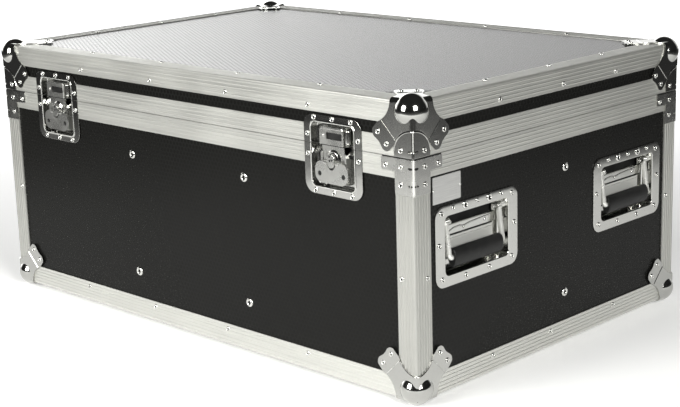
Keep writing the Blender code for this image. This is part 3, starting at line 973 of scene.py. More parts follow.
def show(name: str, mesh: Mesh, look: Look, body: str, *replaces: str, smooth: float = 32.0) -> None:
    """Put a mesh in the scene as a finished piece.

    Args:
        name: the piece's name.
        mesh: its mesh in millimetres, in the case's frame.
        look: its finish.
        body: the body that it rides on.
        replaces: the nodes that it stands for.
        smooth: the angle in degrees above which an edge stays sharp.
    """
    mesh.transform(Matrix.Scale(MM, 4))
    mesh.shade_smooth()
    mesh.set_sharp_from_angle(angle=math.radians(smooth))
    mesh = modified(mesh, "WEIGHTED_NORMAL", keep_sharp=True, weight=90)
    mesh.name = name
    piece = holder_of(mesh, name)
    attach(piece, body)
    coat(piece, look)
    if replaces:
        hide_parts(*replaces)
    LOG.info("%s rides on %s, %d faces", name, body, len(mesh.polygons))


# Node trees that repeat a shape

class Tree(Nodes):
    """A geometry node tree with named inputs, one of which is its finish."""

    def __init__(self, name: str) -> None:
        """Start an empty tree that takes and gives geometry.

        Args:
            name: its name.
        """
        super().__init__(bpy.data.node_groups.new(name, "GeometryNodeTree"))
        for way in ("INPUT", "OUTPUT"):
            self.tree.interface.new_socket("Geometry", in_out=way, socket_type="NodeSocketGeometry")
        self.identifiers: dict[str, str] = {}
        self.entry = self.node("NodeGroupInput")
        self.exit = self.node("NodeGroupOutput")
        self.finish = self.input("Finish", "NodeSocketMaterial")

    def input(self, name: str, kind: str = "NodeSocketFloat") -> Socket:
        """Add a named input.

        Args:
            name: the input's name.
            kind: its socket type.

        Returns:
            The socket that it feeds the tree from.
        """
        item = self.tree.interface.new_socket(name, in_out="INPUT", socket_type=kind)
        self.identifiers[name] = item.identifier
        return self.entry.outputs[name]

    def product(self, first: object, second: object) -> Socket:
        """The product of two values."""
        return self.math("MULTIPLY", first, second)

    def swept(self, path: Socket, radius: Socket, facets: int, capped: bool = True) -> Socket:
        """A round rod along a path.

        Args:
            path: the path's curve.
            radius: the rod's radius.
            facets: how many sides its section has.
            capped: whether its ends are closed.

        Returns:
            The rod.
        """
        section = self.node("GeometryNodeCurvePrimitiveCircle", {"Resolution": facets, "Radius": radius})
        inputs = {0: path, 1: section.outputs[0], "Fill Caps": capped}
        return self.node("GeometryNodeCurveToMesh", inputs).outputs[0]

    def oriented(self) -> Socket:
        """The turn that a seed's two directions ask for.

        Returns:
            The rotation that points z along "facing" and then x along "across".
        """
        turn, pivot = None, "AUTO"
        for name, axis in (("facing", "Z"), ("across", "X")):
            way = self.node("GeometryNodeInputNamedAttribute", {"Name": name}, data_type="FLOAT_VECTOR")
            inputs = {"Vector": way.outputs[0]} | ({"Rotation": turn} if turn else {})
            align = self.node("FunctionNodeAlignRotationToVector", inputs, axis=axis, pivot_axis=pivot)
            turn, pivot = align.outputs[0], "Z"
        return turn

    def end_at_seeds(self, shape: Socket, **inputs: Socket) -> None:
        """Close the tree with the shape set on every seed, under the rotation and scale given."""
        self.end(self.node("GeometryNodeInstanceOnPoints", {
            "Points": self.entry.outputs[0], "Instance": shape} | inputs).outputs[0])

    def end(self, geometry: Socket) -> None:
        """Close the tree with its instances made real and its material set."""
        real = self.node("GeometryNodeRealizeInstances", {"Geometry": geometry})
        dressed = self.node("GeometryNodeSetMaterial", {"Geometry": real.outputs[0], "Material": self.finish})
        self.feed(self.exit.inputs[0], dressed.outputs[0])

    def grow(self, seeds: Mesh, look: Look, values: dict[str, float]) -> Mesh:
        """Run the tree on a mesh of points or lines.

        Args:
            seeds: the mesh that the tree starts from.
            look: the finish.
            values: the other inputs by name.

        Returns:
            The plain mesh that comes out.
        """
        holder = holder_of(seeds)
        modifier = holder.modifiers.new(self.tree.name, "NODES")
        modifier.node_group = self.tree
        for name, value in (values | {"Finish": look.material}).items():
            modifier[self.identifiers[name]] = value
        return evaluated(holder)


def seeds_at(places: list[Matrix]) -> Mesh:
    """A mesh of points, each of which carries its size and the way that its Z and its X face.

    Args:
        places: the frame of each point, in millimetres.

    Returns:
        The mesh.
    """
    mesh = bpy.data.meshes.new("seeds")
    mesh.from_pydata([p.translation for p in places], [], [])
    for name, column in (("facing", 2), ("across", 0)):
        ways = mesh.attributes.new(name, "FLOAT_VECTOR", "POINT")
        for entry, place in zip(ways.data, places):
            entry.vector = place.col[column].to_3d().normalized()
    sizes = mesh.attributes.new("size", "FLOAT", "POINT")
    for entry, place in zip(sizes.data, places):
        entry.value = place.col[0].to_3d().length
    return mesh


@dataclass
class Rivets:
    """Pop rivets: a domed ring round the end of the pin, which is painted near black as shade, one mesh for
    each body.
    """

    head: float = 3.7
    hole: float = 1.35
    tall: float = 1.35
    seed: int = 11
    places: dict[str, list[Matrix]] = field(default_factory=dict)

    def add(self, body: str, place: Matrix, size: float = 1.0) -> None:
        """Note one rivet on a body, at a frame whose Z is out of the surface, its head that much wider."""
        self.places.setdefault(body, []).append(place @ Matrix.Scale(size, 4))

    def tree(self) -> Tree:
        """Build the node tree that sets a rivet on each seed.

        Returns:
            The tree.
        """
        tree = Tree("pop_rivets")
        head, hole, tall = tree.input("Head radius"), tree.input("Hole radius"), tree.input("Height")
        seed = tree.input("Seed", "NodeSocketInt")
        middle = tree.product(tree.math("ADD", head, hole), 0.5)
        half = tree.product(tree.math("SUBTRACT", head, hole), 0.5)
        path = tree.node("GeometryNodeCurvePrimitiveCircle", {"Resolution": 18, "Radius": middle})
        ring = tree.swept(path.outputs[0], half, 10, capped=False)
        flat = tree.node("ShaderNodeCombineXYZ", {0: 1.0, 1: 1.0, 2: tree.math("DIVIDE", tall, half)})
        dome = tree.node("GeometryNodeTransform", {"Geometry": ring, "Scale": flat.outputs[0]})
        pin = tree.node("GeometryNodeMeshCylinder", {
            "Vertices": 10, "Radius": tree.product(hole, 1.3), "Depth": tree.product(tall, 0.5)})
        # The pin is marked so that its finish paints it near black as the shade in the hole
        marked = tree.node("GeometryNodeStoreNamedAttribute", {
            "Geometry": pin.outputs[0], "Name": "core", "Value": 1.0}, data_type="FLOAT", domain="POINT")
        rivet = tree.node("GeometryNodeJoinGeometry")
        for part in (marked, dome):
            tree.feed(rivet.inputs[0], part.outputs[0])
        spin, uneven = [
            tree.node("FunctionNodeRandomValue", {"Min": low, "Max": high, "Seed": seed},
                      data_type="FLOAT").outputs[1]
            for low, high in ((0.0, 2 * math.pi), (0.96, 1.04))]
        around = tree.node("FunctionNodeAxisAngleToRotation", {"Axis": UP, "Angle": spin})
        turn = tree.node("FunctionNodeRotateRotation", {
            "Rotation": tree.oriented(), "Rotate By": around.outputs[0]}, rotation_space="LOCAL")
        own = tree.node("GeometryNodeInputNamedAttribute", {"Name": "size"}, data_type="FLOAT")
        wide = tree.product(own.outputs[0], uneven)
        size = tree.node("ShaderNodeCombineXYZ", {0: wide, 1: wide, 2: uneven})
        tree.end_at_seeds(rivet.outputs[0], Rotation=turn.outputs[0], Scale=size.outputs[0])
        return tree

    def build(self) -> None:
        """Set every rivet that was noted."""
        tree = self.tree()
        sizes = {"Head radius": self.head, "Hole radius": self.hole, "Height": self.tall, "Seed": self.seed}
        for body, places in self.places.items():
            grown = tree.grow(seeds_at(places), Look.RIVET, sizes)
            show(f"rivets_{body}", grown, Look.RIVET, body, smooth=50.0)


class Line(Enum):
    """What a line along the case is: the stem of its piece's name, its finish and its radius."""

    LEVEL_RIB = ("extrusion_ribs", Look.EXTRUSION_LEVEL, 1.3)
    POST_RIB = ("post_ribs", Look.EXTRUSION_UPRIGHT, 1.3)
    # A thin black line, as a painted shadow in a gap
    SEAM = ("panel_seam", Look.RUBBER, 0.30)


@dataclass
class Ribs:
    """The fine ribs drawn along the extrusion's faces and a thin black line round the lid's panel, as a
    painted shadow in its gap.
    """

    stands: float = 0.42
    post_stands: float = 0.75
    pitch: float = 5.0
    lines: dict[tuple[Line, str], list[tuple[Vector, Vector]]] = field(default_factory=dict)

    def note(self, kind: Line, body: str, start: Vector, end: Vector) -> None:
        """Note one line of a kind, from its start to its end, on a body."""
        self.lines.setdefault((kind, body), []).append((start, end))

    def run(self, kind: Line, body: str, start: Vector, end: Vector, step: Vector, out: Vector,
            count: int = 5) -> None:
        """Note the ribs of one face.

        Args:
            kind: which ribs they are.
            body: the body that they ride on.
            start: one end of the face's first edge.
            end: the other end.
            step: the unit vector across the face, away from that edge.
            out: the unit vector out of the face.
            count: how many ribs.
        """
        stands = self.post_stands if kind is Line.POST_RIB else self.stands
        for i in range(1, count + 1):
            shift = step * (self.pitch * i) + out * (stands - kind.value[2])
            self.note(kind, body, start + shift, end + shift)

    def build(self) -> None:
        """Draw every line that was noted, with a node tree that runs a rod along each."""
        tree = Tree("drawn_ribs")
        radius = tree.input("Rib radius")
        path = tree.node("GeometryNodeMeshToCurve", {0: tree.entry.outputs[0]})
        tree.end(tree.swept(path.outputs[0], radius, 10))
        for (kind, body), lines in self.lines.items():
            stem, look, size = kind.value
            mesh = bpy.data.meshes.new("lines")
            edges = [(2 * i, 2 * i + 1) for i in range(len(lines))]
            mesh.from_pydata([p for line in lines for p in line], edges, [])
            show(f"{stem}_{body}", tree.grow(mesh, look, {"Rib radius": size}), look, body, smooth=60.0)


# Sub-assemblies

@dataclass
class Assembly:
    """A sub-assembly, which notes its rivets with all the others."""

    rivets: Rivets


@dataclass
class Shell(Assembly):
    """The ply panels and the frames of extrusion, which keep their own solids and gain ribs and rivets."""

    ribs: Ribs
    corner: float = 34.0
    edge_rows: tuple[float, ...] = (-229.0, -68.0, 93.0, 251.0)
    end_rows: tuple[float, ...] = (-121.5, 14.0, 135.0)
    foot_rows: tuple[float, ...] = (-245.0, -85.0, 75.0, 235.0)
    foot_end_rows: tuple[float, ...] = (-139.5, -14.0, 136.0)
    rivet_in: float = 22.5
    post_rivet: float = 167.0
    latch_gap: tuple[float, float] = (242.5, 345.5)

    def build(self) -> None:
        """Dress the panels, the frames and the dividers, and note the ribs and rivets on them."""
        for look, nodes in {
            Look.PANEL_UPRIGHT: "front_panel back_panel left_end_panel right_end_panel lid_side_band",
            Look.PANEL_FLAT: "bottom_panel lid_top_panel",
            Look.EXTRUSION_LEVEL: "bottom_edge_frame lid_edge_frame base_rim_frame lid_rim_frame",
            Look.EXTRUSION_UPRIGHT: " ".join("corner_post_" + corner.word for corner in Corner),
            Look.PLY: "long_divider cross_divider_left cross_divider_right",
        }.items():
            for node in nodes.split():
                dress(node, look)
        self.add_ribs()
        self.add_rivets()

    def sides(self) -> list[tuple[Vector, Vector, float, float]]:
        """The four sides of the case.

        Returns:
            For each side the way out of it, the way along it, its distance out and its half length.
        """
        found = []
        for x, y in ((0, -1), (1, 0), (0, 1), (-1, 0)):
            sizes = (CASE.half_y, CASE.half_x) if y else (CASE.half_x, CASE.half_y)
            found.append((Vector((x, y, 0)), Vector((-y, x, 0)), *sizes))
        return found

    def add_ribs(self) -> None:
        """Note the ribs on every frame and post."""
        low, high = self.latch_gap
        for out, along, far, half in self.sides():
            face, whole = out * far, half - 1
            reach = along * (half - self.corner)
            for body, height, step in (("lid", CASE.top, -UP), ("base", CASE.bottom, UP)):
                arris = face + UP * height
                self.ribs.run(Line.LEVEL_RIB, body, arris - reach, arris + reach, step, out)
                self.ribs.run(Line.LEVEL_RIB, body, arris - reach, arris + reach, -out, -step)
            line = face + UP * CASE.split
            spans = [(-whole, -high), (-low, low), (high, whole)] if out.y < 0 else [(-whole, whole)]
            for start, end in spans:
                ends = line + along * start, line + along * end
                for body, step in (("lid", UP), ("base", -UP)):
                    self.ribs.run(Line.LEVEL_RIB, body, *ends, step, out, 4)
            # A thin black line as a painted shadow where the lid's panel meets the extrusion
            inner = face - out * CASE.leg + UP * (CASE.top - 0.2)
            self.ribs.note(Line.SEAM, "lid", inner - reach, inner + reach)
        for corner in Corner:
            sign_x, sign_y = corner.signs
            arris = Vector((sign_x * CASE.half_x, sign_y * CASE.half_y, 0))
            ends = arris + UP * (CASE.bottom + CASE.leg), arris + UP * (CASE.split - CASE.base_rim)
            self.ribs.run(Line.POST_RIB, "base", *ends, Vector((-sign_x, 0, 0)), Vector((0, sign_y, 0)))
            self.ribs.run(Line.POST_RIB, "base", *ends, Vector((0, -sign_y, 0)), Vector((sign_x, 0, 0)))

    def add_rivets(self) -> None:
        """Note the rivets along the edges and on the posts."""
        for out, along, far, half in self.sides():
            face = out * far
            sign = 1 if along.x + along.y > 0 else -1
            for body, height, away, spots in (
                    ("lid", CASE.top, UP, self.edge_rows if out.y else self.end_rows),
                    ("base", CASE.bottom, -UP, self.foot_rows if out.y else self.foot_end_rows)):
                for s in spots:
                    spot = face + along * s * sign + UP * height
                    self.rivets.add(body, frame_at(spot - away * self.rivet_in, out, along))
                    self.rivets.add(body, frame_at(spot - out * (self.rivet_in + 1.5), away, along))
            for side in SIDES:
                spot = face + along * side * (half - self.rivet_in) + UP * self.post_rivet
                self.rivets.add("base", frame_at(spot, out, along))


def dress(node: str, look: Look) -> None:
    """Give a node of the frame its finish."""
    coat(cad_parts[node], look)
    LOG.info("%s is dressed", node)


@dataclass
class Dividers(Assembly):
    """The pressed channels that hold the dividers' ends, with the rivets that show outside."""

    cross_x: float = 120.5
    long_y: float = 21.5
    ply: float = 3.25
    low: float = 20.0
    high: float = 298.0
    rivet_heights: tuple[float, ...] = (78.0, 256.0)
    rivet_size: float = 1.75

    def ends(self) -> list[tuple[Vector, Vector]]:
        """Where each divider meets a panel.

        Returns:
            The point on the panel's inner face at floor level and the way in, for each.
        """
        x, y = CASE.half_x - CASE.panel_back, CASE.half_y - CASE.panel_back
        found = []
        for sign in SIDES:
            found += [(Vector((side * self.cross_x, sign * y, 0)), Vector((0, -sign, 0))) for side in SIDES]
            found.append((Vector((sign * x, self.long_y, 0)), Vector((-sign, 0, 0))))
        return found

    def build(self) -> None:
        """Build the channels and note their rivets."""
        near, far = self.ply + 0.7, self.ply + 1.9
        half = [(near, 0.25), (near, 14.0), (far, 14.0), (far, 1.5), (22.0, 1.5), (22.0, 0.3), (22.0, 0.05)]
        channel = plate(mirrored(half)[::-1], self.low, self.high)
        parts = []
        for foot, inward in self.ends():
            across = inward.cross(UP)
            parts.append(placed(channel, frame_at(foot, UP, across)))
            outside = foot - inward * (CASE.panel_back - CASE.panel_in)
            for height in self.rivet_heights:
                self.rivets.add("base", frame_at(outside + UP * height, -inward, across), self.rivet_size)
        show("divider_channels", joined(*parts), Look.ZINC, "base")


@dataclass
class BallCorners(Assembly):
    """Pressed ball corners: a hollow ball on three petals that bend softly into each other."""

    radius: float = 21.5
    inset: float = 13.5
    wall: float = 1.3
    arc_centre: float = 67.0
    arc_radius: float = 31.6
    arc_turn: tuple[float, float] = (175.0, 109.5)
    lobe: tuple[float, float] = (56.3, 42.2)
    lobe_radius: float = 9.2
    lobe_turn: tuple[float, float] = (-20.0, 62.0)
    notch_centre: float = 31.7
    notch_radius: float = 24.0
    notch_turn: tuple[float, float] = (242.0, 226.0)
    bend: float = 5.0
    clipped: float = 9.0
    step: float = 1.15
    step_slope: float = 0.022
    step_inset: float = 0.8
    step_turn: tuple[float, float] = (175.0, 100.0)
    fold: float = 0.75
    step_end: float = 78.5
    lap: float = 0.01

    def petal(self) -> Outline:
        """The outline of one petal, from where it leaves the bends.

        Returns:
            The points.
        """
        half = arc((self.arc_centre, 0.0), self.arc_radius, *self.arc_turn, 10)
        half += arc(self.lobe, self.lobe_radius, *self.lobe_turn, 9)
        middle = sum(self.lobe) / 2 + self.notch_centre / math.sqrt(2)
        return self.closed(half + arc((middle, middle), self.notch_radius, *self.notch_turn, 4))

    def raised(self) -> Outline:
        """The outline of the pressed step round the ball, which ends in a fold short of the lobes.

        Returns:
            The points.
        """
        line = arc((self.arc_centre, 0.0), self.arc_radius + self.step_inset, *self.step_turn, 24)
        half = [p for p in line if sum(p) < self.step_end]
        last_u, last_v = half[-1]
        spare = (self.step_end - last_u - last_v) / 2
        return self.closed(half + [(last_u + spare * 0.8, last_v + spare * 1.2)])

    def closed(self, half: Outline) -> Outline:
        """A petal's whole outline, from the points between its bend and its diagonal."""
        near = self.bend - CASE.plate_high - 0.6
        half = [(half[0][0], near)] + half
        return [(near, self.clipped), (self.clipped, near)] + half + [(v, u) for u, v in reversed(half)]

    def bent(self, high: float, end: float) -> Mesh:
        """The bend between two petals, along one arris.

        Args:
            high: how far out the petals' fronts are.
            end: how far along the arris it runs.

        Returns:
            The mesh, along Z.
        """
        middle = self.bend - CASE.plate_high
        edge, front, back = middle + 0.2, -high - self.lap, -CASE.plate_low
        section = [(edge, front)] + arc((middle, middle), middle - front, 270.0, 180.0, 8) + [(front, edge)]
        section += [(back, edge)] + arc((middle, middle), middle + back, 180.0, 270.0, 8) + [(edge, back)]
        return plate(section, self.clipped, end)

    def mesh(self) -> Mesh:
        """One ball corner in a corner's frame.

        Returns:
            The mesh.
        """
        low, front = CASE.plate_low, CASE.plate_high
        arris_end = self.arc_centre - self.arc_radius
        centre = (self.inset,) * 3
        shell = carved(ball(centre, self.radius, 72, 48), ball(centre, self.radius - self.wall, 24, 12),
                       block((1.0 - low,) * 3, (90.0,) * 3))
        slope = plate(self.raised(), low, front, 0.1)
        for vert in slope.vertices:
            if vert.co.z > low + 0.5:
                vert.co.z += self.step_slope * (self.step_end + 4.0 - vert.co.x - vert.co.y)
        ends = [p for p in self.raised() if abs(sum(p) - self.step_end) < 0.01]
        crease = tube([(u, v, front) for u, v in ends], self.fold, 3)
        petals = [plate(self.petal(), low, front, 0.55, 3), slope, crease]
        bends = [self.bent(front, arris_end), self.bent(front + self.step, arris_end - self.step_inset)]
        parts = [placed(petal, face.matrix) for face in THREE_FACES for petal in petals]
        parts += [placed(bend, *[CYCLE] * turns) for turns in range(3) for bend in bends]
        return joined(shell, *parts)

    def build(self) -> None:
        """Build the eight ball corners and note their rivets."""
        mesh = self.mesh()
        levels = (("bottom", "base", CASE.bottom, False), ("lid", "lid", CASE.top, True))
        for corner in Corner:
            for stem, body, height, over in levels:
                place = CASE.corner_place(corner, height, over)
                node = f"{stem}_ball_corner_{corner.word}"
                show(f"ball_corner_{stem}_{corner.word}", placed(mesh, place), Look.PRESSED, body, node)
                for facing in THREE_FACES:
                    for u, v in (self.lobe, self.lobe[::-1]):
                        self.rivets.add(body, place @ facing.matrix @ at(u, v, CASE.plate_high))


@dataclass
class Braces(Assembly):
    """Corner braces folded from sheet: an arched one on the lid and a tee-shaped one on the base."""

    arch_radius: float = 30.8
    arch_centre: float = 4.0
    arris: float = 2.5
    bead: float = 0.8
    lid_rivets: tuple[tuple[float, float], ...] = ((19.2, 9.0),)
    base_rivets: tuple[tuple[float, float], ...] = ((19.5, -11.5), (44.4, -11.5), (19.8, -34.0))
    lid_crimp: float = 8.0
    crimp_size: Point = (8.0, 1.0, 1.1)
    lid_slit: float = 9.4
    base_slits: tuple[float, ...] = (-12.0, -34.0)
    slit_near: float = 0.9
    slit_far: float = 7.8
    gap_reach: float = 51.0
    tee_stem: float = 29.5
    tee_low: float = -46.5
    tee_arm: tuple[float, float] = (52.0, 2.0)

    def lid_brace(self) -> Mesh:
        """The arched brace with its pinched notch and its bead, folded.

        Returns:
            The mesh in a corner's frame.
        """
        curve = arc((0.0, self.arch_centre), self.arch_radius, 8.0, 90.0, 16)
        curve += [(-u, v) for u, v in reversed(curve[:-1])]
        shoulder = curve[0][1] - 1.0
        outline = [(-CASE.leg, 0.8), (CASE.leg, 0.8), (CASE.leg, shoulder), *curve, (-CASE.leg, shoulder)]
        wedge = placed(turned([(0.02, -1.0), (1.0, 0.0), (0.02, 1.0)], 32), at(0.0, self.lid_crimp, 1.65),
                       Matrix.Rotation(math.pi / 2, 4, "X"), Matrix.Diagonal((*self.crimp_size, 1.0)))
        sheet = plate(outline, CASE.plate_low, CASE.plate_high, 0.4)
        sheet = carved(sheet, wedge, *self.slits(self.lid_slit, 0.7))
        line = [(u, v - 0.9, CASE.plate_high - 0.15) for u, v in self.fine(curve)]
        # The arris above v = 8 carries a painted highlight
        return joined(folded(sheet, self.arris, 8.0, 0.9), folded(tube(line, self.bead, 2), self.arris))

    def base_brace(self) -> Mesh:
        """The tee-shaped brace with its slits, folded.

        Returns:
            The mesh in a corner's frame.
        """
        reach, corner = self.tee_arm
        arm = reach - corner
        half = [(self.tee_stem, self.tee_low), (self.tee_stem, -15.5 - corner)]
        half += arc((arm, -15.5), corner, 270, 360, 3) + arc((arm, -3.1), corner, 0, 90, 3)
        slits = [cutter for height in self.base_slits for cutter in self.slits(height, 1.6)]
        sheet = carved(plate(mirrored(half), CASE.plate_low, CASE.plate_high, 0.35), *slits)
        # The whole arris carries a painted highlight
        return folded(sheet, self.arris, -50.0, 2.4)

    def slits(self, height: float, half_tall: float) -> list[Mesh]:
        """The cutters for the two slits that a pinch opens beside the fold.

        Args:
            height: their height above the split.
            half_tall: half of how far they open.

        Returns:
            The cutters, laid flat about the fold.
        """
        middle, half_long = (self.slit_near + self.slit_far) / 2, (self.slit_far - self.slit_near) / 2
        lens = [(half_long * u, half_tall * v) for u, v in arc((0.0, 0.0), 1.0, 0.0, 360.0, 16)[:-1]]
        return [placed(plate(lens, -1.0, 4.0), at(side * middle, height)) for side in SIDES]

    def liner(self, *heights: float) -> Mesh:
        """Black strips behind the slits and over the gap at the split, as painted shade, folded as the brace
        is.

        Args:
            heights: the slits' heights above the split.

        Returns:
            The mesh in a corner's frame.
        """
        reach = self.slit_far + 0.8
        # Painted shade: black strips behind each pair of slits and over the split's gap
        strips = [block((-reach, h - 2.0, 0.05), (reach, h + 2.0, 0.45)) for h in heights]
        if min(heights) < 0.0:
            strips.append(block((-self.gap_reach, -1.1, 0.05), (self.gap_reach, -0.05, 0.75)))
        return joined(*[folded(strip, self.arris) for strip in strips])

    def build(self) -> None:
        """Build the eight braces and note their rivets."""
        kinds = (
            ("lid_corner_brace", "lid", self.lid_brace(), self.lid_rivets, Look.PRESSED_BRACE),
            ("base_rim_brace", "base", self.base_brace(), self.base_rivets, Look.ZINC_BRACE),
        )
        places = {corner.word: CASE.corner_place(corner, CASE.split) for corner in Corner}
        # The black strips are painted shade for the slits and the split
        for body, liner in (("lid", self.liner(self.lid_slit)), ("base", self.liner(*self.base_slits))):
            placed_strips = joined(*[placed(liner, place) for place in places.values()])
            show(f"slit_liners_{body}", placed_strips, Look.RUBBER, body)
        for word, place in places.items():
            for stem, body, mesh, spots, look in kinds:
                node = f"{stem}_{word}"
                show(f"folded_{node}", placed(mesh, place), look, body, node)
                for u, v in spots:
                    self.rivets.add(body, place @ Facing.FRONT.matrix @ at(u, v, CASE.plate_high))
                    self.rivets.add(body, place @ Facing.SIDE.matrix @ at(v, u, CASE.plate_high))

    def fine(self, curve: Outline) -> Outline:
        """A line with enough points near the fold to bend round it.

        Args:
            curve: the line from right to left.

        Returns:
            The line with points added where it crosses the bend.
        """
        points: Outline = []
        for (u, v), (next_u, next_v) in zip(curve, curve[1:]):
            parts = 6 if min(abs(u), abs(next_u)) < 3.5 else 1
            points += [(u + (next_u - u) * i / parts, v + (next_v - v) * i / parts) for i in range(parts)]
        return points + [curve[-1]]


@dataclass
class Latches(Assembly):
    """Recessed butterfly latches: a pressed dish in two halves, a windowed keeper, a hook plate and a wing.

    A latch is drawn in (u, v, w): u along the case, v up from the split, w out from the extrusion's face.
    """

    centre_x: float = 294.0
    flange: Point = (51.0, -66.5, 38.0)
    tray: Point = (37.4, -55.5, 27.5)
    sheet: float = 1.1
    front: float = 0.6
    floor: float = -9.8
    gap: float = 0.4
    housing: float = 22.5
    channel_rows: tuple[float, float] = (-48.0, -10.0)
    ramp_wide: float = 13.0
    aside: float = 1.25
    window: Point = (14.0, 8.0, 17.0)
    window_u: float = 4.0
    cap_dimple: Point = (-15.5, 12.0, 1.6)
    barrel_at: Point = (24.9, 0.0, -2.6)
    bead_u: float = 13.5
    slot_radius: float = 4.6
    slot_long: float = 8.3
    boss_radius: float = 6.0
    rotor_v: float = -18.0
    pin: Point = (0.0, -22.0, 3.4)
    hole_u: float = 21.0
    hole_down: float = 19.5
    dimples: tuple[tuple[float, float], ...] = ((-1.8, 4.6), (-1.4, -0.9), (2.4, 0.1))
    rivet_spots: tuple[tuple[float, float], ...] = (
        (-32.5, 34.0), (0.0, 34.0), (32.5, 34.0), (-44.7, 11.5), (44.7, 11.5), (-44.7, -14.5), (44.7, -14.5),
        (-32.5, -62.0), (0.0, -62.0), (32.5, -62.0))

    def dish(self) -> Mesh:
        """The whole dish as one closed sheet: flange, rolled lip, wall and floor.

        Returns:
            The mesh.
        """
        flange = rings(self.flange, (
            (0.0, 16.0, -1.5), (0.0, 16.0, -0.5), (-0.15, 15.8, -0.15), (-0.5, 15.5, 0.0)), self.front)
        lip = rings(self.tray, ((3.4, 10.0, 0.0), (2.7, 9.4, 0.35), (2.0, 8.8, 0.75), (1.3, 8.2, 0.8),
                                (0.6, 7.5, 0.45), (0.1, 7.1, -0.4), (0.0, 7.0, -1.6)), self.front)
        well = rings(self.tray, ((-0.1, 6.9, 2.0), (-0.5, 6.5, 0.7), (-1.6, 5.4, 0.0)), self.floor)
        return thickened(lofted(flange + lip + well), self.sheet)

    def lip(self) -> Mesh:
        """The crest of the rolled lip round the tray, in a paler, less metallic finish as a painted
        highlight.
        """
        loops = rings(self.tray, ((1.9, 8.8, 0.60), (1.6, 8.5, 0.95), (1.1, 8.0, 0.95), (0.75, 7.7, 0.50),
                                  (1.3, 8.2, 0.30)), self.front)
        return lofted(loops + loops[:1], end=False, merge=True)

    def keeper(self) -> Mesh:
        """The keeper: a pressed cap on the lid's half, with its window and its dimple.

        Returns:
            The mesh.
        """
        loops = []
        for inset, radius, w in ((0.0, 3.0, self.floor + 0.3), (0.0, 3.0, 0.6), (0.35, 3.0, 1.5),
                                 (1.2, 3.2, 2.0), (2.6, 3.2, 2.0), (3.2, 3.2, 1.7)):
            outline = rounded_rectangle(self.housing - self.aside - inset, -12.0, 24.0 - inset, radius)
            loops.append([Vector((u - self.aside, v, w)) for u, v in outline])
        cap = thickened(lofted(loops), 1.3)
        window = plate(rounded_rectangle(*self.window, 1.5, 3), -3.0, 6.0)
        cap = halved(carved(cap, placed(window, at(self.window_u, 0.0))), 0.8)
        dimple = turned([(2.6, 0.0), (2.2, 0.5), (1.3, 0.85), (0.5, 0.95)], 16)
        return joined(cap, placed(dimple, at(*self.cap_dimple)))

    def seal(self) -> Mesh:
        """A black strip behind the keeper's window as painted shade, which also shows as a painted shadow
        line under the keeper's edge.
        """
        return placed(plate([(-0.5, 0.6), (-0.5, -1.3), (19.5, -1.3), (19.5, -0.9)], -21.0, 18.5), CYCLE)

    def barrel(self) -> Mesh:
        """The keeper's spring barrel beside its cap, with the rings at its mouth.

        Returns:
            The mesh.
        """
        profile = [(2.4, 1.0)]
        for low in (1.5, 2.9, 4.3):
            profile += [(4.1, low), (4.1, low + 0.4), (3.2, low + 0.9)]
        profile += [(3.9, 6.4), (3.9, 20.5), (3.0, 22.0)]
        return placed(turned(profile, 24), at(*self.barrel_at), ALONG_V)

    def channel(self) -> Mesh:
        """The folded channel on the base's half, whose two edges guide the hook plate.

        Returns:
            The mesh.
        """
        far, (bottom, top) = self.housing, self.channel_rows
        parts = []
        for near, low, high, rounding in ((far - 1.4, self.floor, -0.5, 0.35), (far - 3.6, -1.3, -0.1, 0.4)):
            for left, right in ((-far, -near), (near, far)):
                parts.append(block((left, bottom, low), (right, top, high), rounding))
        return joined(*parts, block((-far, bottom - 2.0, self.floor), (far, bottom - 0.4, -2.0), 0.4))

    def ramps(self) -> Mesh:
        """The slopes that lead the dish's floor up to the channel's two sides.

        Returns:
            The mesh.
        """
        near, far = self.housing, self.housing + self.ramp_wide
        slope = [(-3.5, self.floor), (-14.0, -1.8), (-14.0, self.floor)]
        return placed(joined(*[plate(slope, *span) for span in ((-far, -near), (near, far))]), CYCLE)

    def hook(self) -> Mesh:
        """The sliding hook plate, narrower in the cap, with the slot for the shaft and two beads.

        Returns:
            The mesh.
        """
        half, inside_cap = self.housing - 2.4, self.housing - 4.7
        outline = [(-15.0, -36.0), (15.0, -36.0), (half, -30.0), (half, -9.6), (inside_cap, -8.0),
                   (inside_cap, 9.5), (inside_cap - 3.0, 12.5), (4.0 - half, 12.5), (-half, 8.5),
                   (-half, -30.0)]
        slot = self.round_ended(self.slot_radius, self.rotor_v, self.rotor_v - self.slot_long, 8)
        hook = carved(plate(outline, -3.2, -1.4, 0.4), plate(slot, -6.0, 3.0))
        beads = [tube([(side * self.bead_u, v, -1.7) for v in (-30.0, -10.5)], 1.1, 2) for side in SIDES]
        return joined(hook, *beads)

    def rotor(self) -> Mesh:
        """The rotor: disc, shaft and the wing's pin.

        Returns:
            The mesh.
        """
        disc = turned([(11.9, -1.0), (12.5, -0.7), (12.2, -0.4), (10.4, 0.9), (10.0, 1.0), (9.4, 0.9),
                       (8.8, 0.2), (8.4, 0.2), (6.4, 1.9), (2.0, 1.9)], 40)
        shaft = turned([(4.0, -3.5), (4.0, 0.0)], 20)
        pin = turned([(0.7, -12.0), (1.2, -11.5), (1.2, 11.5), (0.7, 12.0)], 14)
        return joined(placed(disc, at(0, self.rotor_v)), placed(shaft, at(0, self.rotor_v)),
                      placed(pin, at(*self.pin), ALONG_U))

    def boss(self) -> Mesh:
        """The rotor's round-ended boss with its punch marks.

        Returns:
            The mesh.
        """
        outline = self.round_ended(self.boss_radius, self.rotor_v + 2.0, self.rotor_v - 4.6, 12)
        return carved(plate(outline, 0.0, 5.4, 0.8, 3), *self.marks([(1.5, 4.3), (1.6, 10.3)]))

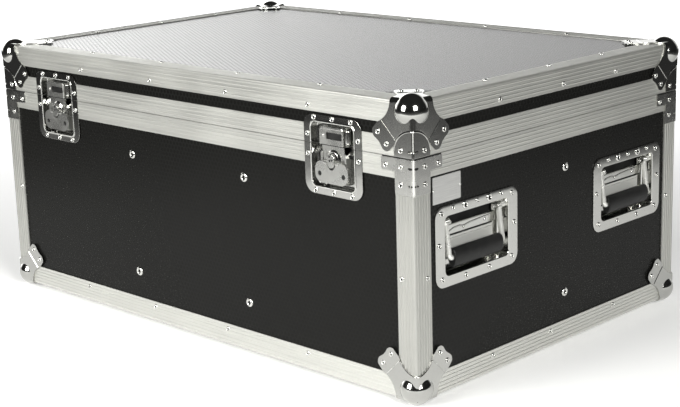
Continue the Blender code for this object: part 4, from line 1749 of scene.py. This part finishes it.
    def round_ended(self, radius: float, high: float, low: float, steps: int) -> Outline:
        """An upright outline with half-round ends about two heights."""
        return arc((0.0, high), radius, 0, 180, steps) + arc((0.0, low), radius, 180, 360, steps)

    def marks(self, profile: Outline) -> list[Mesh]:
        """A turned shape at each of the boss's punch marks."""
        return [placed(turned(profile, 14), at(u, self.rotor_v + v)) for u, v in self.dimples]

    def at_holes(self, profile: Outline) -> list[Mesh]:
        """A turned shape at each of the wing's two holes."""
        height = self.rotor_v - self.hole_down
        return [placed(turned(profile, 24), at(side * self.hole_u, height, self.pin[2])) for side in SIDES]

    def wing(self) -> Mesh:
        """The butterfly wing: a half-round plate with a notch round the boss, two holes and two knuckles.

        Returns:
            The mesh.
        """
        v, middle = self.rotor_v, self.pin[2]
        half = [(7.2, v - 3.4), (8.4, v - 1.6), (13.5, v - 1.4)]
        half += arc((17.6, v - 14.0), 11.4, 65.0, 0.0, 7) + arc((17.0, v - 19.5), 12.0, 0.0, -90.0, 10)[1:]
        half += [(5.0, v - 31.5), (4.0, v - 30.8)]
        outline = mirrored(half) + arc((0.0, v - 6.4), 7.2, 180.0, 360.0, 12)
        wing = plate(outline[::-1], middle - 0.8, middle + 0.8, 0.45, 3)
        knuckles = [turned([(1.9, low), (2.3, low + 0.4), (2.3, low + 5.7), (1.9, low + 6.1)], 18)
                    for low in (-13.4, 7.3)]
        return joined(carved(wing, *self.at_holes([(3.3, -4.0), (3.3, 4.0)])),
                      placed(joined(*knuckles), at(*self.pin), ALONG_U))

    def build(self) -> None:
        """Build both latches and note their rivets."""
        dish, lip = self.dish(), self.lip()
        rotor_body = "latch_turn_{side}_body"
        parts = (
            ("latch_dish", "base", halved(dish, -self.gap), Look.LATCH_DISH),
            ("hook_channel", "base", self.channel(), Look.SATIN_ZINC),
            ("channel_ramps", "base", self.ramps(), Look.BRIGHT_ZINC),
            ("keeper_dish", "lid", halved(dish, self.gap), Look.LATCH_DISH),
            ("keeper_cap", "lid", self.keeper(), Look.SATIN_ZINC),
            ("keeper_barrel", "lid", self.barrel(), Look.BRIGHT_ZINC),
            # Black strip behind the keeper's window: painted shade and shadow line
            ("keeper_seal", "lid", self.seal(), Look.RUBBER),
            ("latch_hook", "hook_{side}", self.hook(), Look.SATIN_ZINC),
            ("latch_rotor", rotor_body, self.rotor(), Look.BRIGHT_ZINC),
            ("rotor_boss", rotor_body, self.boss(), Look.SATIN_ZINC),
            # Black discs in the boss's punch marks, as painted shade
            ("rotor_marks", rotor_body, joined(*self.marks([(1.45, 4.2), (1.45, 5.1)])), Look.RUBBER),
            # The lips' crests carry a painted highlight
            ("keeper_lip", "lid", halved(lip, self.gap), Look.WORN_ZINC),
            ("latch_lip", "base", halved(lip, -self.gap), Look.WORN_ZINC),
            ("latch_wing", "wing_{side}", self.wing(), Look.SATIN_ZINC),
            # Black discs in the wing's holes, as painted shade
            ("wing_buffers", "wing_{side}", joined(*self.at_holes([(3.2, -0.7), (3.2, -0.1)])), Look.RUBBER),
        )
        for side, x in (("left", -self.centre_x), ("right", self.centre_x)):
            place = at(x, -CASE.half_y, CASE.split) @ Facing.FRONT.matrix
            for stem, body, mesh, look in parts:
                node = f"{stem}_{side}"
                stands_for = [node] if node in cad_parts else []
                show(f"pressed_{node}", placed(mesh, place), look, body.format(side=side), *stands_for)
            for u, v in self.rivet_spots:
                self.rivets.add("lid" if v > 0 else "base", place @ at(u, v, self.front))


@dataclass
class Handles(Assembly):
    """Recessed bail handles: a deep pressed dish, a spring cover, a chromed bail and a rubber grip.

    A handle is drawn in (u, v, w): u along the end panel, v up, w out from the extrusion's face.
    """

    centre_y: float = 168.5
    centre_z: float = 199.7
    flange: Point = (82.5, -53.2, 53.2)
    well: Point = (63.5, -38.5, 38.5)
    front: float = -0.3
    floor: float = -18.0
    sheet: float = 1.2
    bail_radius: float = 3.9
    bail_half: float = 53.5
    bail_end: float = 66.4
    bail_bends: tuple[float, float] = (4.0, 4.5)
    bail_w: float = -9.0
    hole_u: float = 58.0
    hole_radius: float = 4.1
    spring_u: float = 47.0
    coil_radius: float = 4.0
    wire_radius: float = 0.75
    coil_long: float = 9.0
    coil_turns: float = 5.0
    pivot_v: float = 29.0
    grip_w: float = -3.0
    grip_v: float = -17.5
    grip_half: float = 48.8
    grip_size: tuple[float, float] = (12.8, 7.0)
    rivet_spots: Rows = (
        (-24.0, 46.9, 1.5), (24.0, 46.9, 1.5), (-70.5, 43.5, 1.0), (70.5, 43.5, 1.0), (-75.5, 3.0, 1.0),
        (75.5, 3.0, 1.0), (-24.0, -46.0, 1.0), (24.0, -46.0, 1.0), (-70.0, -42.0, 1.0), (70.0, -42.0, 1.0),
        (-48.0, 47.6, 0.85), (0.0, 47.6, 0.85), (48.0, 47.6, 0.85))
    lining_half: float = 51.0
    lining: Outline = field(default_factory=lambda: [(-14.0, 1.4), (1.9, 4.9)])
    top_roll: float = 0.24
    cover_front: float = -14.0
    cover_half: float = 52.0
    hood_half: float = 54.0
    hood_deep: float = 8.2
    slots: Rows = ((50.0, 22.0, 36.0), (51.0, 5.2, 9.4))

    def dish(self) -> Mesh:
        """The dish: flange, rolled lip, wall, floor and spring cover.

        Returns:
            The mesh.
        """
        flange = rings(self.flange, ((0.0, 15.0, -1.2), (0.0, 15.0, -0.5), (-0.15, 14.8, -0.15),
                                     (-0.5, 14.5, 0.0), (-3.2, 12.2, 0.0), (-7.0, 9.0, 0.0)), self.front)
        for loop, share in zip(flange, (1.0, 1.0, 1.0, 1.0, 0.3)):
            for point in loop:
                if point.y > self.flange[2] - 5.0:
                    point.z -= self.top_roll * share
        lip = rings(self.well, ((1.2, 8.1, 0.0), (0.7, 7.6, -0.12), (0.3, 7.2, -0.45), (0.05, 7.05, -0.9),
                                (0.0, 7.0, -1.6)), self.front)
        well = rings(self.well, ((-0.2, 6.8, 3.0), (-0.8, 6.2, 1.0), (-2.4, 4.6, 0.0)), self.floor)
        hole = turned([(self.hole_radius, 0.0), (self.hole_radius, 12.0)], 20)
        cutters = [placed(hole, place) for place in self.pivots(self.hole_u)]
        cutters += [plate(rounded_rectangle(half, low, high, 1.0, 3), self.floor - 5.0, self.floor + 2.0)
                    for half, low, high in self.slots]
        return joined(carved(thickened(lofted(flange + lip + well), self.sheet), *cutters), self.cover())

    def pivots(self, out: float) -> list[Matrix]:
        """The frames on the bail's axis at that distance to both sides, Z outward along it."""
        return [at(side * out, self.pivot_v, self.bail_w) @ Matrix.Rotation(side * math.pi / 2, 4, "Y")
                for side in SIDES]

    def cover(self) -> Mesh:
        """The spring cover on the well's floor, with its bead and dimples.

        Returns:
            The mesh.
        """
        back, front = self.floor - 0.5, self.cover_front
        section = [(8.5, back), (8.5, front - 0.8), (9.3, front), (20.6, front), (21.6, front - 0.9),
                   (21.9, back)]
        cover = placed(plate(section[::-1], -self.cover_half, self.cover_half, 0.4), CYCLE)
        route = [(-44.0, 12.0), (-32.0, 16.0), (-20.0, 16.6), (-12.0, 14.8), (0.0, 16.8), (20.0, 18.0),
                 (44.0, 18.6)]
        marks = [ball((u, v, front + 0.7), 2.4, 16, 10) for u, v in ((-12.0, 14.0), (31.0, 14.5))]
        return joined(carved(cover, *marks), tube([(u, v, front) for u, v in route], 1.0, 3))

    def bail(self) -> Mesh:
        """The bail: a rod bent down both sides of the well, its ends turned out through the wall.

        Returns:
            The mesh.
        """
        top, low = self.bail_bends
        route = [(-self.bail_end, self.pivot_v)]
        route += arc((-self.bail_half - top, self.pivot_v - top), top, 90.0, 0.0, 7)
        route += arc((-self.bail_half + low, self.grip_v + low), low, 180.0, 270.0, 9)
        slope = (self.grip_w - self.bail_w) / (self.pivot_v - self.grip_v)
        line = [(u, v, self.bail_w + slope * (self.pivot_v - v)) for u, v in mirrored(route)]
        return tube(line, self.bail_radius, 5)

    def grip(self) -> Mesh:
        """The oval sleeve on the bail's cross bar, with rounded ends.

        Returns:
            The mesh.
        """
        steps = 40
        tall, deep = self.grip_size
        ends = [(0.0, 0.80), (0.3, 0.89), (1.2, 0.95), (2.7, 0.99), (5.0, 1.0)]
        loops = []
        for along, share in mirrored([(self.grip_half - inward, share) for inward, share in ends])[::-1]:
            turns = [2 * math.pi * i / steps for i in range(steps)]
            loops.append([Vector((along, self.grip_v - 0.6 - tall * share * math.sin(a),
                                  self.grip_w + deep * share * math.cos(a))) for a in turns])
        return lofted(loops, start=True, tidy=True)

    def springs(self) -> Tree:
        """Build the node tree that winds a coil on each seed.

        Returns:
            The tree.
        """
        tree = Tree("wound_springs")
        coil, wire, long = tree.input("Coil radius"), tree.input("Wire radius"), tree.input("Length")
        spiral = tree.node("GeometryNodeCurveSpiral", {
            "Resolution": 20, "Rotations": tree.input("Turns"), "Start Radius": coil, "End Radius": coil,
            "Height": long})
        tree.end_at_seeds(tree.swept(spiral.outputs[0], wire, 8), Rotation=tree.oriented())
        return tree

    def places(self) -> dict[str, Matrix]:
        """The frame of each handle by the name that its nodes end in.

        Returns:
            The frames.
        """
        found = {}
        for end, sign, turn in (("left", -1, math.pi), ("right", 1, 0.0)):
            for side, y in (("front", -self.centre_y), ("back", self.centre_y)):
                place = at(sign * CASE.half_x, y, self.centre_z) @ Matrix.Rotation(turn, 4, "Z")
                found[f"{end}_{side}"] = place @ Facing.OUTWARD.matrix
        return found

    def build(self) -> None:
        """Build the four handles and note their rivets."""
        half = self.lining_half
        lining = joined(*[block((-half, low, self.floor), (half, high, self.floor + 0.6), 0.15)
                          for low, high in self.lining])
        # A black plate behind the well's slots, as painted shade for the case's dark inside
        behind = self.floor - self.sheet - 0.05
        deep = behind - self.hood_deep
        hood = [(2.5, behind), (2.5, behind - 1.0), (38.5, deep), (38.5, behind), (37.5, behind),
                (37.5, deep + 1.2)]
        shade_backing = plate(hood, -self.hood_half, self.hood_half)
        parts = (
            ("pressed_handle_dish", self.dish(), Look.DISH, "base", "handle_dish"),
            ("handle_floor", lining, Look.MATT_ZINC, "base", ""),
            ("handle_backing", placed(shade_backing, CYCLE), Look.RUBBER, "base", ""),
            ("bent_bail", self.bail(), Look.CHROME, "handle_{name}", "handle_bail"),
            ("moulded_grip", self.grip(), Look.RUBBER, "handle_{name}", "handle_grip"),
        )
        seeds = []
        for name, place in self.places().items():
            for stem, mesh, look, body, node in parts:
                stands_for = [f"{node}_{name}"] if node else []
                show(f"{stem}_{name}", placed(mesh, place), look, body.format(name=name), *stands_for)
            for u, v, size in self.rivet_spots:
                self.rivets.add("base", place @ at(u, v, self.front), size)
            seeds += [place @ pivot for pivot in self.pivots(self.spring_u)]
        coils = self.springs().grow(seeds_at(seeds), Look.ZINC, {
            "Coil radius": self.coil_radius, "Wire radius": self.wire_radius, "Length": self.coil_long,
            "Turns": self.coil_turns})
        show("handle_springs", coils, Look.ZINC, "base", smooth=60.0)


@dataclass
class Hinges(Assembly):
    """The two hinges at the back, which keep their own solids and gain rivets."""

    centre_x: float = 262.0
    rivet_u: tuple[float, ...] = (-22.0, 0.0, 22.0)
    rivet_v: float = 16.5
    leaf_out: float = 1.9

    def build(self) -> None:
        """Dress the leaves and note their rivets."""
        for side, x in (("left", -self.centre_x), ("right", self.centre_x)):
            place = at(x, CASE.half_y, CASE.split) @ Facing.BACK.matrix
            for body, up in (("base", -1), ("lid", 1)):
                dress(f"hinge_{body}_leaf_{side}", Look.ZINC)
                for u in self.rivet_u:
                    self.rivets.add(body, place @ at(u, up * self.rivet_v, self.leaf_out))


@dataclass
class BadgePlate(Assembly):
    """A bare satin plate on the right end, held by two small pins."""

    centre_y: float = -227.0
    centre_z: float = 274.7
    half_wide: float = 26.8
    half_tall: float = 17.4
    thick: float = 0.8
    pin_u: float = 25.4

    def build(self) -> None:
        """Build the plate."""
        low, high = -CASE.panel_in, self.thick - CASE.panel_in
        outline = rounded_rectangle(self.half_wide, -self.half_tall, self.half_tall, 1.2, 4)
        badge = plate(outline, low, high, 0.25)
        pin = turned([(1.9, 0.0), (1.9, 0.35), (1.4, 0.75), (0.6, 0.95)], 16)
        pins = [placed(pin, at(side * self.pin_u, 0.0, high)) for side in SIDES]
        place = at(CASE.half_x, self.centre_y, self.centre_z) @ Facing.OUTWARD.matrix
        show("badge_plate", placed(joined(badge, *pins), place), Look.BADGE, "base")


@dataclass
class Studio:
    """A white paper sweep, two soft boxes and a camera where the photograph was taken from, in metres."""

    camera_at: Point = (1.6509, -1.6580, 0.7360)
    azimuth: float = 44.562
    elevation: float = 14.258
    roll: float = -1.774
    lens: float = 82.31
    sensor: float = 36.0
    sight: float = 60.0
    aim: Point = (0.43, -0.29, 0.38)
    light_far: float = 3.2
    paper_size: float = 9.0
    paper_middle: float = 0.10
    paper_half: float = 1.18
    paper_start: float = -0.508
    paper_squash: float = 1.6
    paper_far: float = 6.0
    fade: float = 0.27
    dim: float = 0.21
    dim_start: float = 1.50
    dim_end: float = 2.10
    backdrop: float = 3.6

    def set_camera(self) -> None:
        """Put the camera in place."""
        place = at(*self.camera_at)
        for degrees, axis in ((self.azimuth, "Z"), (90.0 - self.elevation, "X"), (self.roll, "Z")):
            place @= Matrix.Rotation(math.radians(degrees), 4, axis)
        camera = bpy.data.cameras.new("camera")
        camera.lens = self.lens
        camera.sensor_width = self.sensor
        camera.clip_end = self.sight
        holder = holder_of(camera, "camera")
        holder.matrix_world = place
        bpy.context.scene.camera = holder

    def lay_floor(self) -> None:
        """Lay the paper, which is bright round the case, dim further out and clear beyond that."""
        bm = bmesh.new()
        bmesh.ops.create_grid(bm, x_segments=2, y_segments=2, size=self.paper_size)
        floor = holder_of(mesh_from(bm), "paper_sweep")
        shader = Shader("white_paper")
        x, y, _ = shader.split("Object", self.azimuth)
        across = shader.math("SUBTRACT", x, self.paper_middle)
        nearer = shader.math("MINIMUM", shader.math("SUBTRACT", y, self.paper_start), 0.0)
        nearer = shader.math("MULTIPLY", nearer, self.paper_squash)
        squares = [shader.math("MULTIPLY", s, s) for s in (across, nearer)]
        reach = shader.math("SQRT", shader.math("ADD", *squares))
        bright = shader.ranged(reach, self.paper_half, self.paper_half + self.fade, 1.0, 0.0)
        dim = shader.ranged(reach, self.dim_start, self.dim_end, self.dim, 0.03)
        far = shader.ranged(y, self.paper_far, self.paper_far + 1.0, 1.0, 0.0)
        tooth = shader.noise(260.0)
        shader.give(
            Base_Color=shader.mixed(tooth, grey(0.90), grey(0.94)),
            Roughness=0.85,
            Alpha=shader.math("MULTIPLY", shader.math("MAXIMUM", bright, dim), far),
            # The paper glows, faintly near the case and strongly further back: painted light for a lit sweep
            Emission_Color=grey(1.0),
            Emission_Strength=shader.ranged(y, 0.2, 2.4, 0.16, 1.3),
            Normal=shader.bump(tooth, 0.0001, 0.2),
        )
        floor.data.materials.append(shader.material)

    def set_world(self) -> None:
        """Light the room: white behind the case, dark behind the camera, white to the eye."""
        world = bpy.data.worlds.new("studio")
        world.use_nodes = True
        bpy.context.scene.world = world
        world.node_tree.nodes.clear()
        nodes = Nodes(world.node_tree)
        x, y, z = nodes.split("Generated", self.azimuth)
        behind = nodes.ranged(y, 0.35, 0.75, way="SMOOTHSTEP")
        low_enough = nodes.ranged(z, 0.52, 0.38, way="SMOOTHSTEP")
        above = nodes.ranged(z, -0.03, 0.0, way="SMOOTHSTEP")
        share = nodes.ranged(nodes.math("DIVIDE", x, y), -0.22, 0.22, 1.0, 0.0)
        graded = nodes.ranged(nodes.math("POWER", share, 1.7), 0.0, 1.0, self.backdrop / 3.0, self.backdrop)
        backdrop = nodes.math("MULTIPLY", nodes.math("MULTIPLY", behind, low_enough),
                              nodes.math("MULTIPLY", above, graded))
        strength = nodes.math("ADD", backdrop, nodes.ranged(z, 0.0, 1.0, 0.02, 0.03))
        lit = nodes.node("ShaderNodeBackground", {"Color": (1.0, 1.0, 0.99, 1.0), "Strength": strength})
        seen = nodes.node("ShaderNodeBackground", {"Color": grey(1.0), "Strength": 1.0})
        eye = nodes.node("ShaderNodeLightPath").outputs["Is Camera Ray"]
        mix = nodes.node("ShaderNodeMixShader", {0: eye, 1: lit.outputs[0], 2: seen.outputs[0]})
        nodes.node("ShaderNodeOutputWorld", {"Surface": mix.outputs[0]})

    def hang_light(self, name: str, direction: Point, size: tuple[float, float], watts: float) -> None:
        """Hang one soft box.

        Args:
            name: the light's name.
            direction: the way to it from the case's near top corner.
            size: its width and height in metres.
            watts: its power.
        """
        light = bpy.data.lights.new(name, "AREA")
        light.shape = "RECTANGLE"
        light.size, light.size_y = size
        light.energy = watts
        light.color = (1.0, 1.0, 0.975)
        holder = holder_of(light, name)
        way = Vector(direction).normalized()
        holder.location = Vector(self.aim) + way * self.light_far
        holder.rotation_mode = "QUATERNION"
        holder.rotation_quaternion = way.to_track_quat("Z", "Y")
        holder.visible_camera = False

    def build(self) -> None:
        """Build the whole studio."""
        self.set_camera()
        self.lay_floor()
        self.set_world()
        self.hang_light("soft_box_front", (-0.243, -0.896, 0.29), (1.40, 1.65), 132.0)
        self.hang_light("soft_box_end", (0.842, -0.313, 0.36), (1.20, 1.50), 125.0)
        bpy.context.scene.view_settings.view_transform = "Standard"
        LOG.info("studio is set")


def main() -> None:
    """Build the case's looks and the studio round it."""
    logging.basicConfig(level=logging.INFO, format="%(name)s: %(message)s")
    rivets, ribs = Rivets(), Ribs()
    Shell(rivets, ribs).build()
    for assembly in (Dividers, BallCorners, Braces, Latches, Handles, Hinges, BadgePlate):
        assembly(rivets).build()
    ribs.build()
    rivets.build()
    Studio().build()


if __name__ == "__main__":
    main()
